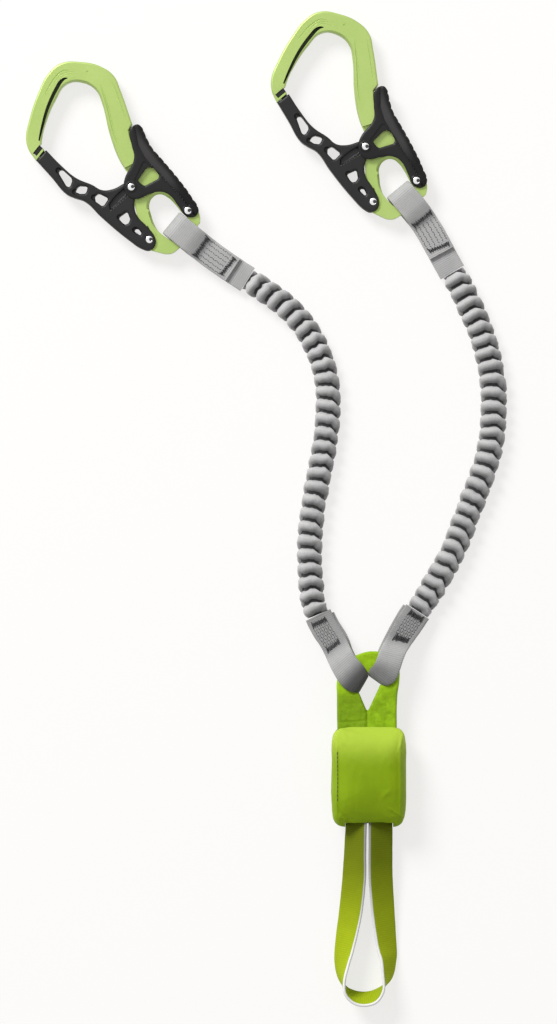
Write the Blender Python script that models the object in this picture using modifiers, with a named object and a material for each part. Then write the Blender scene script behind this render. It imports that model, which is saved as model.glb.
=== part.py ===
"""Via ferrata lanyard: two squeeze-lever carabiners on pleated elastic arms, a webbing arch,
a pouch with the folded tear webbing, and a tie-in loop. Metres, +Z up, lying on its back.

The origin is on the flat back of the pouch. +Y runs along the lanyard towards the carabiners.
"""
import math

import bmesh
import bpy
from mathutils import Matrix, Vector

MM = 0.001

# Clearances
FIT_GAP = 0.3 * MM
SLIDE_GAP = 0.4 * MM
OVERRUN = 4 * MM

# Webbing
STRAP_WIDTH = 16.4 * MM
STRAP_THICKNESS = 1.8 * MM
LOOP_THICKNESS = 1.8 * MM

# Carabiner
CARABINER_LENGTH = 132 * MM
FRAME_THICKNESS = 8.4 * MM
EYE_PLATE_THICKNESS = 7.2 * MM
TANG_THICKNESS = 3.8 * MM
GATE_THICKNESS = 8.4 * MM
GATE_FORK_WIDTH = TANG_THICKNESS + 2 * FIT_GAP
LEVER_THICKNESS = 12.4 * MM
LEVER_FORK_WIDTH = GATE_THICKNESS + 2 * FIT_GAP
FRAME_ROUND = 1.7 * MM
GATE_ROUND = 0.7 * MM
LEVER_ROUND = 0.8 * MM
EYE_SIDE_GAP = 0.4 * MM
EYE_SLACK = 3.6 * MM
BAR_CHAMFER_REACH = 4.2 * MM

# Rivets, cam pin and torsion springs
RIVET_RADIUS = 1.5 * MM
RIVET_HEAD_RADIUS = 2.1 * MM
RIVET_HEAD_HEIGHT = 0.4 * MM
HEAD_SEAT_GAP = 0.1 * MM
SPRING_WIRE = 0.6 * MM
SPRING_MEAN_RADIUS = 2.45 * MM
SPRING_PITCH = 1.15 * MM
SPRING_LEG = 7.6 * MM
SPRING_POCKET_RADIUS = SPRING_MEAN_RADIUS + SPRING_WIRE / 2 + SLIDE_GAP
RIVET_SIDES = 12
LEVER_SPRING_TURNS = 2.5
GATE_SPRING_TURNS = 1.5

# Mechanism: squeezing the lever by its travel swings the gate open by ratio times as much
LEVER_TRAVEL_DEG = 5.5
GATE_RATIO = 4.2

# Arms
SLEEVE_RIBS = 27
RIDGE_HALF_WIDTH = 7.9 * MM
VALLEY_HALF_WIDTH = 6.0 * MM
SLEEVE_END_HALF_WIDTH = 7.2 * MM
SLEEVE_FLATTENING = 0.74
SLEEVE_BORE_HALF_WIDTH = 4.6 * MM
CORE_HALF_WIDTH = SLEEVE_BORE_HALF_WIDTH - FIT_GAP / SLEEVE_FLATTENING
STATIONS_PER_RIB = 3

# Arch and eyes
ARCH_THICKNESS = 5.0 * MM
ARCH_ROUND = 1.0 * MM
ARCH_HEIGHT = 12.0 * MM
UPPER_STITCH_START = 23.5 * MM
UPPER_TAIL = 47.0 * MM
LOWER_STITCH_START = 26.5 * MM
LOWER_TAIL = 41.0 * MM
LOWER_EYE_LEVEL = 13.6 * MM
ARCH_SCALE_LENGTH = 56.0 * MM

# Pouch and tear webbing
POUCH_WIDTH = 44.5 * MM
POUCH_LENGTH = 60.0 * MM
POUCH_DEPTH = 27.6 * MM
POUCH_WALL = 1.4 * MM
POUCH_CENTRE_X = -1.25 * MM
POUCH_CENTRE_Y = 0.5 * MM
POUCH_FLAT_CUT = 0.6 * MM
POUCH_CENTRE_Z = POUCH_DEPTH / 2 - POUCH_FLAT_CUT
POUCH_PLAN_POWER = 7.0
POUCH_CROWN_POWER = 3.2
TEAR_WEBBING_WIDTH = 32.0 * MM
TEAR_WEBBING_THICKNESS = 1.7 * MM
TEAR_FOLD_PITCH = 2.6 * MM
TEAR_FOLDS = 7
TEAR_RUN_LENGTH = 34.0 * MM

# Tie-in loop
LOOP_LENGTH = 106.0 * MM

# Height of the carabiners' middle plane: the rivet heads rest just above the floor
PLANE_HEIGHT = LEVER_THICKNESS / 2 + HEAD_SEAT_GAP + RIVET_HEAD_HEIGHT
SLEEVE_HEIGHT = RIDGE_HALF_WIDTH * SLEEVE_FLATTENING + FIT_GAP

# Carabiner outlines: shares of the carabiner's length in 132nds, from the lever's rivet,
# +Y along the spine. A third value of CORNER keeps the point sharp.
LENGTH_PARTS_SHARE = 132
PART = CARABINER_LENGTH / LENGTH_PARTS_SHARE
CORNER = "corner"
LEVER_PIVOT_SHARE = (0.0, 0.0)
GATE_PIVOT_SHARE = (-28.5, -4.3)
CAM_PIN_SHARE = (-23.3, 28.5)
BAR_CENTRE_SHARE = (-8.5, -10.2)
BAR_HALF_WIDTH_SHARE = 3.75
BAR_SLOPE_DEG = 23.0
FRAME_OUTLINE_SHARES = [
    (-66.0, 66.5, CORNER), (-66.6, 71.6), (-67.2, 77), (-65.4, 84), (-58.5, 92.8), (-45, 105.5), (-35, 112.2),
    (-26, 114), (-15, 109.2), (-5.2, 100.6), (-1.2, 92), (-1.7, 84), (-5.1, 61.8, CORNER),
    (-8.6, 59.2, CORNER), (-9.9, 52), (-8.6, 41.5), (-5.2, 30.5), (-2.6, 18), (0.2, 8.2),
    (4.6, 4.0), (5.5, -1.5), (4.7, -6.4), (3.1, -9.35, CORNER), (-14.6, -16.9, CORNER),
    (-21, -17.6), (-28.2, -12.6), (-32.2, -8.2), (-33.3, -4.4), (-31.7, -0.5), (-29.6, 4.6),
    (-27.2, 13), (-24, 22.5), (-19.9, 26.6), (-19.7, 32), (-21.4, 38.6), (-22, 48),
    (-19.8, 63.2), (-15.2, 81.5), (-14.6, 90), (-19, 98), (-28.5, 101.8), (-38.6, 98.9),
    (-50, 89), (-57.6, 80.9), (-59.1, 77), (-58.9, 69.5, CORNER),
]
EYE_SHARES = [
    (-0.5, 3.75, CORNER), (0.5, 3.75, CORNER), (0.52, 9), (0.59, 15), (0.615, 20.5),
    (0.53, 25.6), (0.3, 27.8), (0.0, 26.6), (-0.23, 21.8), (-0.4, 17.2), (-0.51, 12),
]
LOWER_RECESS_SHARES = [(-50, -28), (16, -28), (16, 22.8), (-50, 22.8)]
TANG_RECESS_SHARES = [
    (-45, -8.2), (-33.5, -13), (-26.6, -10.6), (-23.8, -8.0), (-23.2, -4), (-23.2, 1),
    (-22.4, 6), (-21.6, 10.5), (-17.5, 13), (-9.5, 13), (-5.4, 17.5), (-5.2, 22),
    (0, 27.5), (0, 40.6), (-45, 40.6),
]
GATE_OUTLINE_SHARES = [
    (-66.1, 69.3, CORNER), (-62.9, 56.5), (-59.6, 43), (-56.6, 39), (-52, 34), (-47.8, 21.5),
    (-39.2, 0.4), (-35.2, -6.9), (-31.2, -10.1), (-26.7, -8.6), (-25.1, -4.2), (-26.2, 0.8),
    (-29.2, 11.2), (-28.2, 16.6), (-25.2, 20.6), (-21.5, 25.4), (-20.2, 29.2), (-22.6, 31.8),
    (-34, 32.9), (-39.6, 35.3), (-43.4, 40.9), (-49.8, 48.8), (-54.4, 60), (-58.0, 72.3, CORNER),
]
GATE_WINDOW_SHARES = [
    [(-57.8, 56.6), (-57.1, 57.6), (-55.4, 57.5), (-54.7, 56.7), (-52.5, 50.6), (-52.9, 48.6),
     (-55.2, 46.4), (-56.6, 46.3), (-57.4, 47.6)],
    [(-54.3, 41.9), (-52.0, 43.6), (-50.2, 43.8), (-47.0, 41.8), (-46.7, 40.6), (-48.4, 38.7),
     (-49.7, 38.2), (-52.4, 39.5)],
    [(-46.3, 31.1), (-45.3, 34.0), (-42.8, 34.5), (-41.9, 33.9), (-39.0, 29.9), (-39.3, 28.6),
     (-42.8, 26.7), (-44.2, 26.9)],
    [(-38.8, 15.4), (-37.8, 16.2), (-33.1, 16.9), (-32.5, 16.4), (-33.0, 12.0), (-34.9, 10.3),
     (-37.0, 10.4), (-38.0, 12.0)],
    [(-34.1, 4.6), (-32.9, 5.4), (-31.3, 4.6), (-30.9, 1.5), (-31.9, 0.5), (-33.3, 2.2)],
]
GATE_FORK_SHARES = [
    (-36.4, 38), (-35.4, 30), (-34.9, 25), (-36.6, 19), (-35.2, 10.5), (-34.4, 3),
    (-34.2, -1), (-35.4, -4.6), (-38, -9), (-38, -16), (-12, -16), (-12, 38),
]
LEVER_OUTLINE_SHARES = [
    (-7.8, 58.2), (-6.2, 59.8), (-2.4, 60.1), (-1.2, 58.6), (-1.3, 51), (-1.3, 44), (0.6, 35.5), (4.2, 18.5),
    (6.1, 5), (6.3, -1.5), (3.6, -4.7), (-0.4, -4.4), (-3.1, -0.6), (-4, 5.2), (-5.6, 13.6),
    (-9.4, 17.8), (-16, 19.6), (-24.6, 20.9), (-27.6, 24.4), (-27.4, 30.4), (-24.6, 34.9),
    (-13.8, 43.1), (-10.8, 50.5),
]
LEVER_WINDOW_SHARES = [
    (-20.1, 31.2), (-19.3, 29.6), (-16.7, 26.0), (-15.6, 25.4), (-6.9, 25.4), (-5.8, 26.3),
    (-5.7, 28), (-8.0, 37.4), (-9.1, 38.6), (-10.7, 38.3),
]
LEVER_FORK_SHARES = [
    (-36, -12), (12, -12), (12, 9), (2.7, 9), (2.1, 15), (0.4, 26), (-2.1, 37), (-3.3, 43),
    (-3.7, 50), (-3.5, 57.2), (4, 57.2), (4, 70), (-36, 70),
]

# Where the springs' moving legs press on the lever's and the gate's webs
LEVER_SPRING_PRESS_SHARE = (1.8, 11.6)
GATE_SPRING_PRESS_SHARE = (-33.6, 3.2)

# Keylock nose: radii and angles about the gate's rivet
NOSE_CUT_RADIUS_SHARE = 70
NOSE_END_RADIUS_SHARE = 82.9
NOSE_LIP_RADIUS_SHARE = 84.1
TONGUE_HEAD_START_SHARE = 84.4
TONGUE_HEAD_END_SHARE = 86.6
NOSE_SLOT_END_SHARE = 86.9
TONGUE_ROOT_SHARE = 80.5
TONGUE_OUTER_DEG = 115.3
TONGUE_INNER_DEG = 111.4
NOSE_CUT_DEG = 122.0
NOSE_OUTER_DEG = 115.6
NOSE_INNER_DEG = 105.0
NECK_WIDTH = 2.8 * MM
NECK_OUTER_DEG = 114.6
NECK_INNER_DEG = 112.0
NECK_CUT_DEG = 115.0

# The two carabiners: where the eye's bar lies and how far the spine leans from +Y
CARABINER_PLACES = {
    "left": (-112.1 * MM, 326.4 * MM, 28.0),
    "right": (22.4 * MM, 345.2 * MM, 17.0),
}

# Routes of the arms' sleeves from the arch to the carabiners, in millimetres
SLEEVE_ROUTES_MM = {
    "left": [
        (-31.6, 97.5), (-34.6, 105), (-36, 120), (-36.6, 135), (-35.8, 150), (-33.6, 167),
        (-30.4, 184), (-27.4, 200), (-25.7, 216), (-25.6, 232), (-28.4, 247), (-34, 261),
        (-42, 273.5), (-52.5, 284), (-63.5, 292), (-73.5, 298.4),
    ],
    "right": [
        (28.4, 99.5), (33.6, 107.5), (42.5, 122.5), (50, 136.5), (57, 155), (63, 170.5),
        (68.6, 186), (72.5, 202), (73.8, 218), (73.7, 234), (71, 251), (66.6, 266),
        (60.4, 281), (53.2, 296), (49.4, 302.6),
    ],
}

# Arch of the absorber: shares of its length in 56ths, from its foot in the pouch
ARCH_PARTS_SHARE = 56
ARCH_FOOT_Y = 19.5 * MM
ARCH_OUTLINE_SHARES = [
    (-19.8, 0, CORNER), (15.8, 0, CORNER), (16.0, 30), (17.2, 38.5), (16.8, 46.5), (12.6, 52.6),
    (4.0, 56), (-8.0, 54), (-15.6, 48.6), (-19.8, 40.5), (-20.2, 28),
]
ARCH_HOLE_SHARES = [
    (-2, 19.6, CORNER), (5.4, 34.4, CORNER), (9.8, 34.8), (12.9, 39.1), (12.3, 43.0), (8.2, 44.9),
    (-2.8, 45.0), (-9.4, 44.4), (-13.2, 41.9), (-14.4, 37.6), (-12.4, 32.6), (-7.2, 30.2, CORNER),
]
# Selvedges of the arms' lower eyes, left and right, from the fold in the arch's hole outwards
LOWER_EYE_SHARES = {
    "left": [
        (-6.5, 31.3, -2.4, 40.4), (-12.6, 32.3, -3.8, 44.0), (-17.4, 35.6, -5.9, 48.4),
        (-21.2, 41.0, -8.8, 52.6), (-24.8, 48.0, -11.9, 57.9), (-29.0, 57.1, -15.4, 65.7),
    ],
    "right": [
        (-1.3, 40.8, 5.9, 36.9), (0.9, 44.9, 10.6, 35.9), (2.2, 47.6, 15.0, 39.0),
        (3.2, 51.0, 17.6, 45.4), (4.8, 55.6, 19.8, 51.8), (8.0, 61.6, 22.8, 57.8),
    ],
}

# Pouch mouths
TOP_MOUTH_HEIGHT = ARCH_THICKNESS + 2 * SLIDE_GAP
BOTTOM_MOUTH_LOW = 5.6 * MM
BOTTOM_MOUTH_HIGH = 19.2 * MM
MOUTH_SIDE_GAP = 0.5 * MM
LOOP_EXIT_HALF_WIDTH = 13.9 * MM
LOOP_EXIT_CENTRE_X = -0.9 * MM

# Tie-in loop: across and along as shares of its length in 106ths from the pouch's mouth,
# the band's roll from lying flat, and the height of its middle as a share of its width
LOOP_PARTS_SHARE = 106
LOOP_STATION_SHARES = [
    (-8.7, 3.5, 42, 0.76), (-8.8, -2, 42, 0.76), (-9.3, -15, 39, 0.71), (-9.8, -30, 33, 0.61),
    (-11.8, -50, 34, 0.48), (-15.2, -70, 46, 0.45), (-17.0, -82, 61, 0.50), (-17.0, -91, 78, 0.545),
    (-14.7, -98, 98, 0.55), (-10.2, -101.8, 110, 0.53), (-4.0, -103.2, 114, 0.52),
    (2.4, -101.7, 110, 0.53), (7.2, -97, 94, 0.55), (9.9, -90, 69, 0.54), (10.6, -80, 55, 0.49),
    (9.4, -70, 42, 0.43), (7.4, -50, 32, 0.48), (6.0, -30, 29, 0.62), (5.9, -15, 29, 0.73),
    (5.9, -2, 29, 0.78), (5.9, 3.5, 29, 0.78),
]
LOOP_MOUTH_Y = POUCH_CENTRE_Y - POUCH_LENGTH / 2 - MOUTH_SIDE_GAP


def clear_scene():
    for old in list(bpy.data.objects):
        bpy.data.objects.remove(old, do_unlink=True)


def new_collection(name):
    group = bpy.data.collections.new(name)
    bpy.context.scene.collection.children.link(group)
    return group


def make_material(name, colour, roughness, metallic):
    material = bpy.data.materials.new(name)
    material.use_nodes = True
    shader = material.node_tree.nodes["Principled BSDF"]
    shader.inputs["Base Color"].default_value = (*colour, 1.0)
    shader.inputs["Roughness"].default_value = roughness
    shader.inputs["Metallic"].default_value = metallic
    material.diffuse_color = (*colour, 1.0)
    return material


def make_materials():
    return {
        "anodised": make_material("green_anodised", (0.45, 0.70, 0.16), 0.35, 0.6),
        "black": make_material("black_satin", (0.025, 0.024, 0.024), 0.42, 0.2),
        "steel": make_material("bright_steel", (0.75, 0.75, 0.75), 0.2, 1.0),
        "grey": make_material("grey_webbing", (0.36, 0.36, 0.36), 0.9, 0.0),
        "elastic": make_material("elastic_core", (0.12, 0.12, 0.12), 0.8, 0.0),
        "green": make_material("green_fabric", (0.35, 0.56, 0.03), 0.85, 0.0),
        "tear": make_material("tear_webbing", (0.55, 0.56, 0.5), 0.9, 0.0),
    }


def shade(mesh):
    mesh.shade_smooth()
    mesh.set_sharp_from_angle(angle=math.radians(35))


def add_object(name, mesh, material, group, parent=None, origin=(0, 0, 0)):
    """The mesh's points are in the parent's frame; the object's origin goes to the given point."""
    mesh.transform(Matrix.Translation(-Vector(origin)))
    mesh.materials.clear()
    if material:
        mesh.materials.append(material)
    shade(mesh)
    thing = bpy.data.objects.new(name, mesh)
    group.objects.link(thing)
    thing.location = origin
    thing.parent = parent
    return thing


def welded_mesh(curve_object, name):
    """The curve's evaluated mesh, with its loose caps welded on."""
    bpy.context.view_layer.update()
    depsgraph = bpy.context.evaluated_depsgraph_get()
    mesh = bpy.data.meshes.new_from_object(curve_object.evaluated_get(depsgraph))
    mesh.transform(curve_object.matrix_world)
    shape = bmesh.new()
    shape.from_mesh(mesh)
    bmesh.ops.remove_doubles(shape, verts=shape.verts, dist=FIT_GAP / 100)
    bmesh.ops.recalc_face_normals(shape, faces=shape.faces)
    shape.to_mesh(mesh)
    shape.free()
    bpy.data.objects.remove(curve_object, do_unlink=True)
    mesh.name = name
    return mesh


def outline_mesh(name, outlines, thickness, edge_round=0.0, bevel_steps=0, steps=2, middle=0.0):
    """A flat plate of the given outlines, the first outer and the rest holes."""
    data = bpy.data.curves.new(name, "CURVE")
    data.dimensions = "2D"
    data.fill_mode = "BOTH"
    data.extrude = thickness / 2 - edge_round
    data.bevel_depth = edge_round
    data.bevel_resolution = bevel_steps
    data.offset = -edge_round
    data.resolution_u = steps
    data.render_resolution_u = 0
    for outline in outlines:
        spline = data.splines.new("BEZIER")
        spline.bezier_points.add(len(outline) - 1)
        spline.use_cyclic_u = True
        for knot, place in zip(spline.bezier_points, outline):
            knot.co = (place[0], place[1], 0)
            handle = "VECTOR" if len(place) > 2 else "AUTO"
            knot.handle_left_type = handle
            knot.handle_right_type = handle
    thing = bpy.data.objects.new(name, data)
    bpy.context.scene.collection.objects.link(thing)
    thing.location = (0, 0, middle)
    return welded_mesh(thing, name)


def tube_mesh(name, points, radius, resolution, radii_shares=None, flattening=1.0, height=0.0):
    """A capped tube on straight spans, flattened along Z about the given height."""
    data = bpy.data.curves.new(name, "CURVE")
    data.dimensions = "3D"
    data.bevel_depth = radius
    data.bevel_resolution = resolution
    data.use_fill_caps = True
    data.twist_mode = "Z_UP"
    data.render_resolution_u = 0
    spline = data.splines.new("POLY")
    spline.points.add(len(points) - 1)
    for number, (knot, place) in enumerate(zip(spline.points, points)):
        knot.co = (*place, 1)
        knot.radius = radii_shares[number] if radii_shares else 1
    thing = bpy.data.objects.new(name, data)
    bpy.context.scene.collection.objects.link(thing)
    thing.location = (0, 0, height)
    thing.scale = (1, 1, flattening)
    return welded_mesh(thing, name)


def disc_mesh(name, centre, radius, low, high, sides=20):
    shape = bmesh.new()
    place = Matrix.Translation((centre[0], centre[1], (low + high) / 2))
    bmesh.ops.create_cone(
        shape, cap_ends=True, segments=sides, radius1=radius, radius2=radius,
        depth=high - low, matrix=place,
    )
    mesh = bpy.data.meshes.new(name)
    shape.to_mesh(mesh)
    shape.free()
    return mesh


def box_mesh(name, low, high):
    shape = bmesh.new()
    bmesh.ops.create_cube(shape, size=1)
    size = [b - a for a, b in zip(low, high)]
    middle = [(a + b) / 2 for a, b in zip(low, high)]
    bmesh.ops.transform(shape, matrix=Matrix.Diagonal((*size, 1)), verts=shape.verts)
    bmesh.ops.translate(shape, vec=middle, verts=shape.verts)
    mesh = bpy.data.meshes.new(name)
    shape.to_mesh(mesh)
    shape.free()
    return mesh


def apply_boolean(target, other_mesh, operation, cutters, parent=None):
    """Cuts or joins with an exact Boolean; the other solid is kept in the cutters' collection."""
    helper = bpy.data.objects.new("cutter_" + other_mesh.name, other_mesh)
    cutters.objects.link(helper)
    helper.parent = parent
    helper.hide_render = True
    helper.display_type = "WIRE"
    step = target.modifiers.new(operation.lower() + "_" + other_mesh.name, "BOOLEAN")
    step.operation = operation
    step.solver = "EXACT"
    step.object = helper


def smooth_curve(route, per_span=16):
    """A Catmull-Rom curve through the route's points, of any dimension."""
    knots = [Vector(point) for point in route]
    ends = [2 * knots[0] - knots[1]] + knots + [2 * knots[-1] - knots[-2]]
    fine = []
    for a, b, c, d in zip(ends, ends[1:], ends[2:], ends[3:]):
        for step in range(per_span):
            t = step / per_span
            fine.append(
                0.5 * (2 * b + (c - a) * t + (2 * a - 5 * b + 4 * c - d) * t * t
                       + (3 * b - a - 3 * c + d) * t ** 3)
            )
    fine.append(knots[-1])
    return fine


def even_points(line, count):
    """Points at equal steps along a line of straight spans, and its length."""
    along = [0.0]
    for a, b in zip(line, line[1:]):
        along.append(along[-1] + (b - a).length)
    points = []
    span = 0
    for number in range(count):
        wanted = along[-1] * number / (count - 1)
        while span < len(line) - 2 and along[span + 1] < wanted:
            span += 1
        share = (wanted - along[span]) / (along[span + 1] - along[span])
        points.append(line[span].lerp(line[span + 1], min(max(share, 0.0), 1.0)))
    return points, along[-1]


def band_mesh(name, stations):
    """A woven band lofted through stations of (middle, across, normal, width, thickness).

    Its section is a flat hexagon, so that the edges thin out as a selvedge does.
    """
    shape = bmesh.new()
    rings = []
    for middle, across, normal, width, thickness in stations:
        half = across * (width / 2)
        shoulder = across * (width / 2 - thickness / 2)
        lift = normal * (thickness / 2)
        corners = [half, shoulder + lift, -shoulder + lift, -half, -shoulder - lift, shoulder - lift]
        rings.append([shape.verts.new(middle + corner) for corner in corners])
    for ring, after in zip(rings, rings[1:]):
        for index in range(len(ring)):
            following = (index + 1) % len(ring)
            shape.faces.new((ring[index], ring[following], after[following], after[index]))
    shape.faces.new(reversed(rings[0]))
    shape.faces.new(rings[-1])
    bmesh.ops.recalc_face_normals(shape, faces=shape.faces)
    mesh = bpy.data.meshes.new(name)
    shape.to_mesh(mesh)
    shape.free()
    return mesh


def scaled(outline, unit=PART):
    return [(x * unit, y * unit, *rest) for x, y, *rest in outline]


def place_of(share, unit=PART):
    return Vector((share[0] * unit, share[1] * unit))


def turned(point, centre, degrees):
    """The point after a turn about the centre, anticlockwise seen from +Z."""
    c, s = math.cos(math.radians(degrees)), math.sin(math.radians(degrees))
    x, y = point[0] - centre[0], point[1] - centre[1]
    return Vector((centre[0] + c * x - s * y, centre[1] + s * x + c * y))


def sector(centre, inner, outer, start_deg, end_deg, steps=4):
    """A ring sector about a centre, as an outline with sharp points."""
    def arc(radius, angles):
        return [
            (centre[0] + radius * math.cos(math.radians(a)),
             centre[1] + radius * math.sin(math.radians(a)), CORNER)
            for a in angles
        ]
    angles = [start_deg + (end_deg - start_deg) * n / steps for n in range(steps + 1)]
    return arc(inner, angles) + arc(outer, reversed(angles))


def capsule(path, radius, steps=5):
    """The outline of a round pin's way along a path, with round ends."""
    outline = []
    for points in (path, path[::-1]):
        for here, after in zip(points, points[1:]):
            ahead = (after - here).normalized()
            outline.append(here + radius * Vector((-ahead.y, ahead.x)))
        end = points[-1]
        ahead = (end - points[-2]).normalized()
        start = math.atan2(ahead.x, -ahead.y)
        for step in range(steps + 1):
            angle = start - math.pi * step / steps
            outline.append(end + radius * Vector((math.cos(angle), math.sin(angle))))
    return [(point.x, point.y, CORNER) for point in outline]


def bar_axes():
    slope = math.radians(BAR_SLOPE_DEG)
    along = Vector((math.cos(slope), math.sin(slope)))
    inward = Vector((-math.sin(slope), math.cos(slope)))
    return place_of(BAR_CENTRE_SHARE), along, inward


def bar_reach():
    """How far the chamfered bar of the eye reaches from its own middle line."""
    reaches = []
    for half in (BAR_HALF_WIDTH_SHARE * PART, EYE_PLATE_THICKNESS / 2):
        reaches.append(math.hypot(half, BAR_CHAMFER_REACH * math.sqrt(2) - half))
    return max(reaches)


def pin_path_in_gate(steps=6):
    """The cam pin's way in the gate's own frame while lever and gate turn together."""
    lever_pivot = place_of(LEVER_PIVOT_SHARE)
    gate_pivot = place_of(GATE_PIVOT_SHARE)
    pin = place_of(CAM_PIN_SHARE)
    path = []
    for step in range(steps + 1):
        squeeze = LEVER_TRAVEL_DEG * step / steps
        moved = turned(pin, lever_pivot, squeeze)
        path.append(turned(moved, gate_pivot, squeeze * GATE_RATIO))
    return path


def eye_hole():
    centre, along, inward = bar_axes()
    width = STRAP_WIDTH + 2 * EYE_SIDE_GAP
    hole = []
    for u_share, v_share, *rest in EYE_SHARES:
        spot = centre + along * (u_share * width) + inward * (v_share * PART)
        hole.append((spot.x, spot.y, *rest))
    return hole


def build_frame(side, parts, cutters, materials, parent):
    name = side + "_frame"
    mesh = outline_mesh(
        name, [scaled(FRAME_OUTLINE_SHARES), eye_hole()], FRAME_THICKNESS, FRAME_ROUND, 1,
    )
    frame = add_object(name, mesh, materials["anodised"], parts, parent)
    high = FRAME_THICKNESS / 2 + OVERRUN
    for label, shares, plate in (
        ("lower_recess", LOWER_RECESS_SHARES, EYE_PLATE_THICKNESS),
        ("tang_recess", TANG_RECESS_SHARES, TANG_THICKNESS),
    ):
        for face, way in (("front", 1), ("back", -1)):
            depth = high - plate / 2
            cutter = outline_mesh(
                f"{side}_{label}_{face}", [corners(scaled(shares))], depth,
                middle=way * (plate / 2 + depth / 2),
            )
            apply_boolean(frame, cutter, "DIFFERENCE", cutters, parent)
    for chamfer in bar_chamfers(side):
        apply_boolean(frame, chamfer, "DIFFERENCE", cutters, parent)
    gate_pivot = place_of(GATE_PIVOT_SHARE)
    end = sector(
        gate_pivot, NOSE_CUT_RADIUS_SHARE * PART, NOSE_END_RADIUS_SHARE * PART,
        NOSE_CUT_DEG, NOSE_INNER_DEG, 8,
    )
    slot = sector(
        gate_pivot, NOSE_LIP_RADIUS_SHARE * PART, NOSE_SLOT_END_SHARE * PART,
        NOSE_OUTER_DEG, NOSE_INNER_DEG,
    )
    neck = sector(
        gate_pivot, TONGUE_ROOT_SHARE * PART, NOSE_LIP_RADIUS_SHARE * PART + FIT_GAP,
        NECK_CUT_DEG, NOSE_INNER_DEG,
    )
    nose_cuts = (
        outline_mesh(side + "_nose_end", [end], FRAME_THICKNESS + OVERRUN),
        outline_mesh(side + "_nose_slot", [slot], FRAME_THICKNESS + OVERRUN),
        outline_mesh(side + "_nose_channel", [neck], NECK_WIDTH + 2 * FIT_GAP),
    )
    for cutter in nose_cuts:
        apply_boolean(frame, cutter, "DIFFERENCE", cutters, parent)
    for label, share, turns, plate, way in (
        ("lever", LEVER_PIVOT_SHARE, LEVER_SPRING_TURNS, EYE_PLATE_THICKNESS, 1),
        ("gate", GATE_PIVOT_SHARE, GATE_SPRING_TURNS, TANG_THICKNESS, -1),
    ):
        pivot = place_of(share)
        hole = disc_mesh(f"{side}_{label}_rivet_hole", pivot, RIVET_RADIUS + FIT_GAP, -high, high)
        apply_boolean(frame, hole, "DIFFERENCE", cutters, parent)
        bottom = plate / 2 - spring_depth(turns)
        pocket = disc_mesh(
            f"{side}_{label}_spring_pocket", pivot, SPRING_POCKET_RADIUS, bottom, high, 24,
        )
        apply_boolean(frame, pocket, "DIFFERENCE", cutters, parent)
        channel = spring_channel(f"{side}_{label}_spring_channel", pivot, way, bottom, high)
        apply_boolean(frame, channel, "DIFFERENCE", cutters, parent)
    return frame


def bar_chamfers(side):
    """Four long boxes, turned by an eighth, that take the edges off the bar of the eye."""
    centre, along, _ = bar_axes()
    size = EYE_PLATE_THICKNESS
    half = (STRAP_WIDTH + EYE_SIDE_GAP) / 2
    turn = Matrix.Rotation(math.atan2(along.y, along.x), 4, "Z")
    boxes = []
    for quarter in range(4):
        mesh = box_mesh(
            f"{side}_bar_chamfer_{quarter}",
            (-half, -size / 2, BAR_CHAMFER_REACH), (half, size / 2, BAR_CHAMFER_REACH + size),
        )
        roll = Matrix.Rotation(math.pi / 4 + quarter * math.pi / 2, 4, "X")
        mesh.transform(Matrix.Translation((centre.x, centre.y, 0)) @ turn @ roll)
        boxes.append(mesh)
    return boxes


def corners(outline):
    """The same outline with every point kept sharp."""
    return [(place[0], place[1], CORNER) for place in outline]


def spring_depth(turns):
    """Depth of a spring's pocket below its plate's face, so that the coil lies flush."""
    return SPRING_PITCH * turns + SPRING_WIRE + FIT_GAP


def spring_channel(name, pivot, way, bottom, high):
    """The notch in which the spring's legs lie, open on the side of the piece that they push."""
    wall = SPRING_MEAN_RADIUS + SPRING_WIRE / 2 + FIT_GAP
    reach = SPRING_LEG + FIT_GAP
    xs = sorted((pivot.x - way * wall, pivot.x + way * reach))
    return box_mesh(name, (xs[0], pivot.y, bottom), (xs[1], pivot.y + reach, high))


def build_gate(side, parts, cutters, materials, parent):
    name = side + "_gate"
    pivot = place_of(GATE_PIVOT_SHARE)
    holes = [corners(scaled(window)) for window in GATE_WINDOW_SHARES]
    mesh = outline_mesh(
        name, [scaled(GATE_OUTLINE_SHARES)] + holes, GATE_THICKNESS, GATE_ROUND,
    )
    gate = add_object(name, mesh, materials["black"], parts, parent, (pivot.x, pivot.y, 0))
    head = sector(
        pivot, TONGUE_HEAD_START_SHARE * PART, TONGUE_HEAD_END_SHARE * PART,
        TONGUE_OUTER_DEG, TONGUE_INNER_DEG,
    )
    neck = sector(
        pivot, TONGUE_ROOT_SHARE * PART, TONGUE_HEAD_START_SHARE * PART + FIT_GAP,
        NECK_OUTER_DEG, NECK_INNER_DEG,
    )
    tongue = (
        outline_mesh(side + "_tongue_neck", [neck], NECK_WIDTH),
        outline_mesh(side + "_tongue_head", [head], GATE_THICKNESS),
    )
    for piece in tongue:
        apply_boolean(gate, piece, "UNION", cutters, parent)
    fork = outline_mesh(side + "_gate_fork", [corners(scaled(GATE_FORK_SHARES))], GATE_FORK_WIDTH)
    apply_boolean(gate, fork, "DIFFERENCE", cutters, parent)
    slot = outline_mesh(
        side + "_cam_slot", [capsule(pin_path_in_gate(), RIVET_RADIUS + FIT_GAP)],
        GATE_THICKNESS + OVERRUN,
    )
    apply_boolean(gate, slot, "DIFFERENCE", cutters, parent)
    hole = disc_mesh(
        side + "_gate_hole", pivot, RIVET_RADIUS + FIT_GAP, -GATE_THICKNESS, GATE_THICKNESS,
    )
    apply_boolean(gate, hole, "DIFFERENCE", cutters, parent)
    return gate


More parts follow.
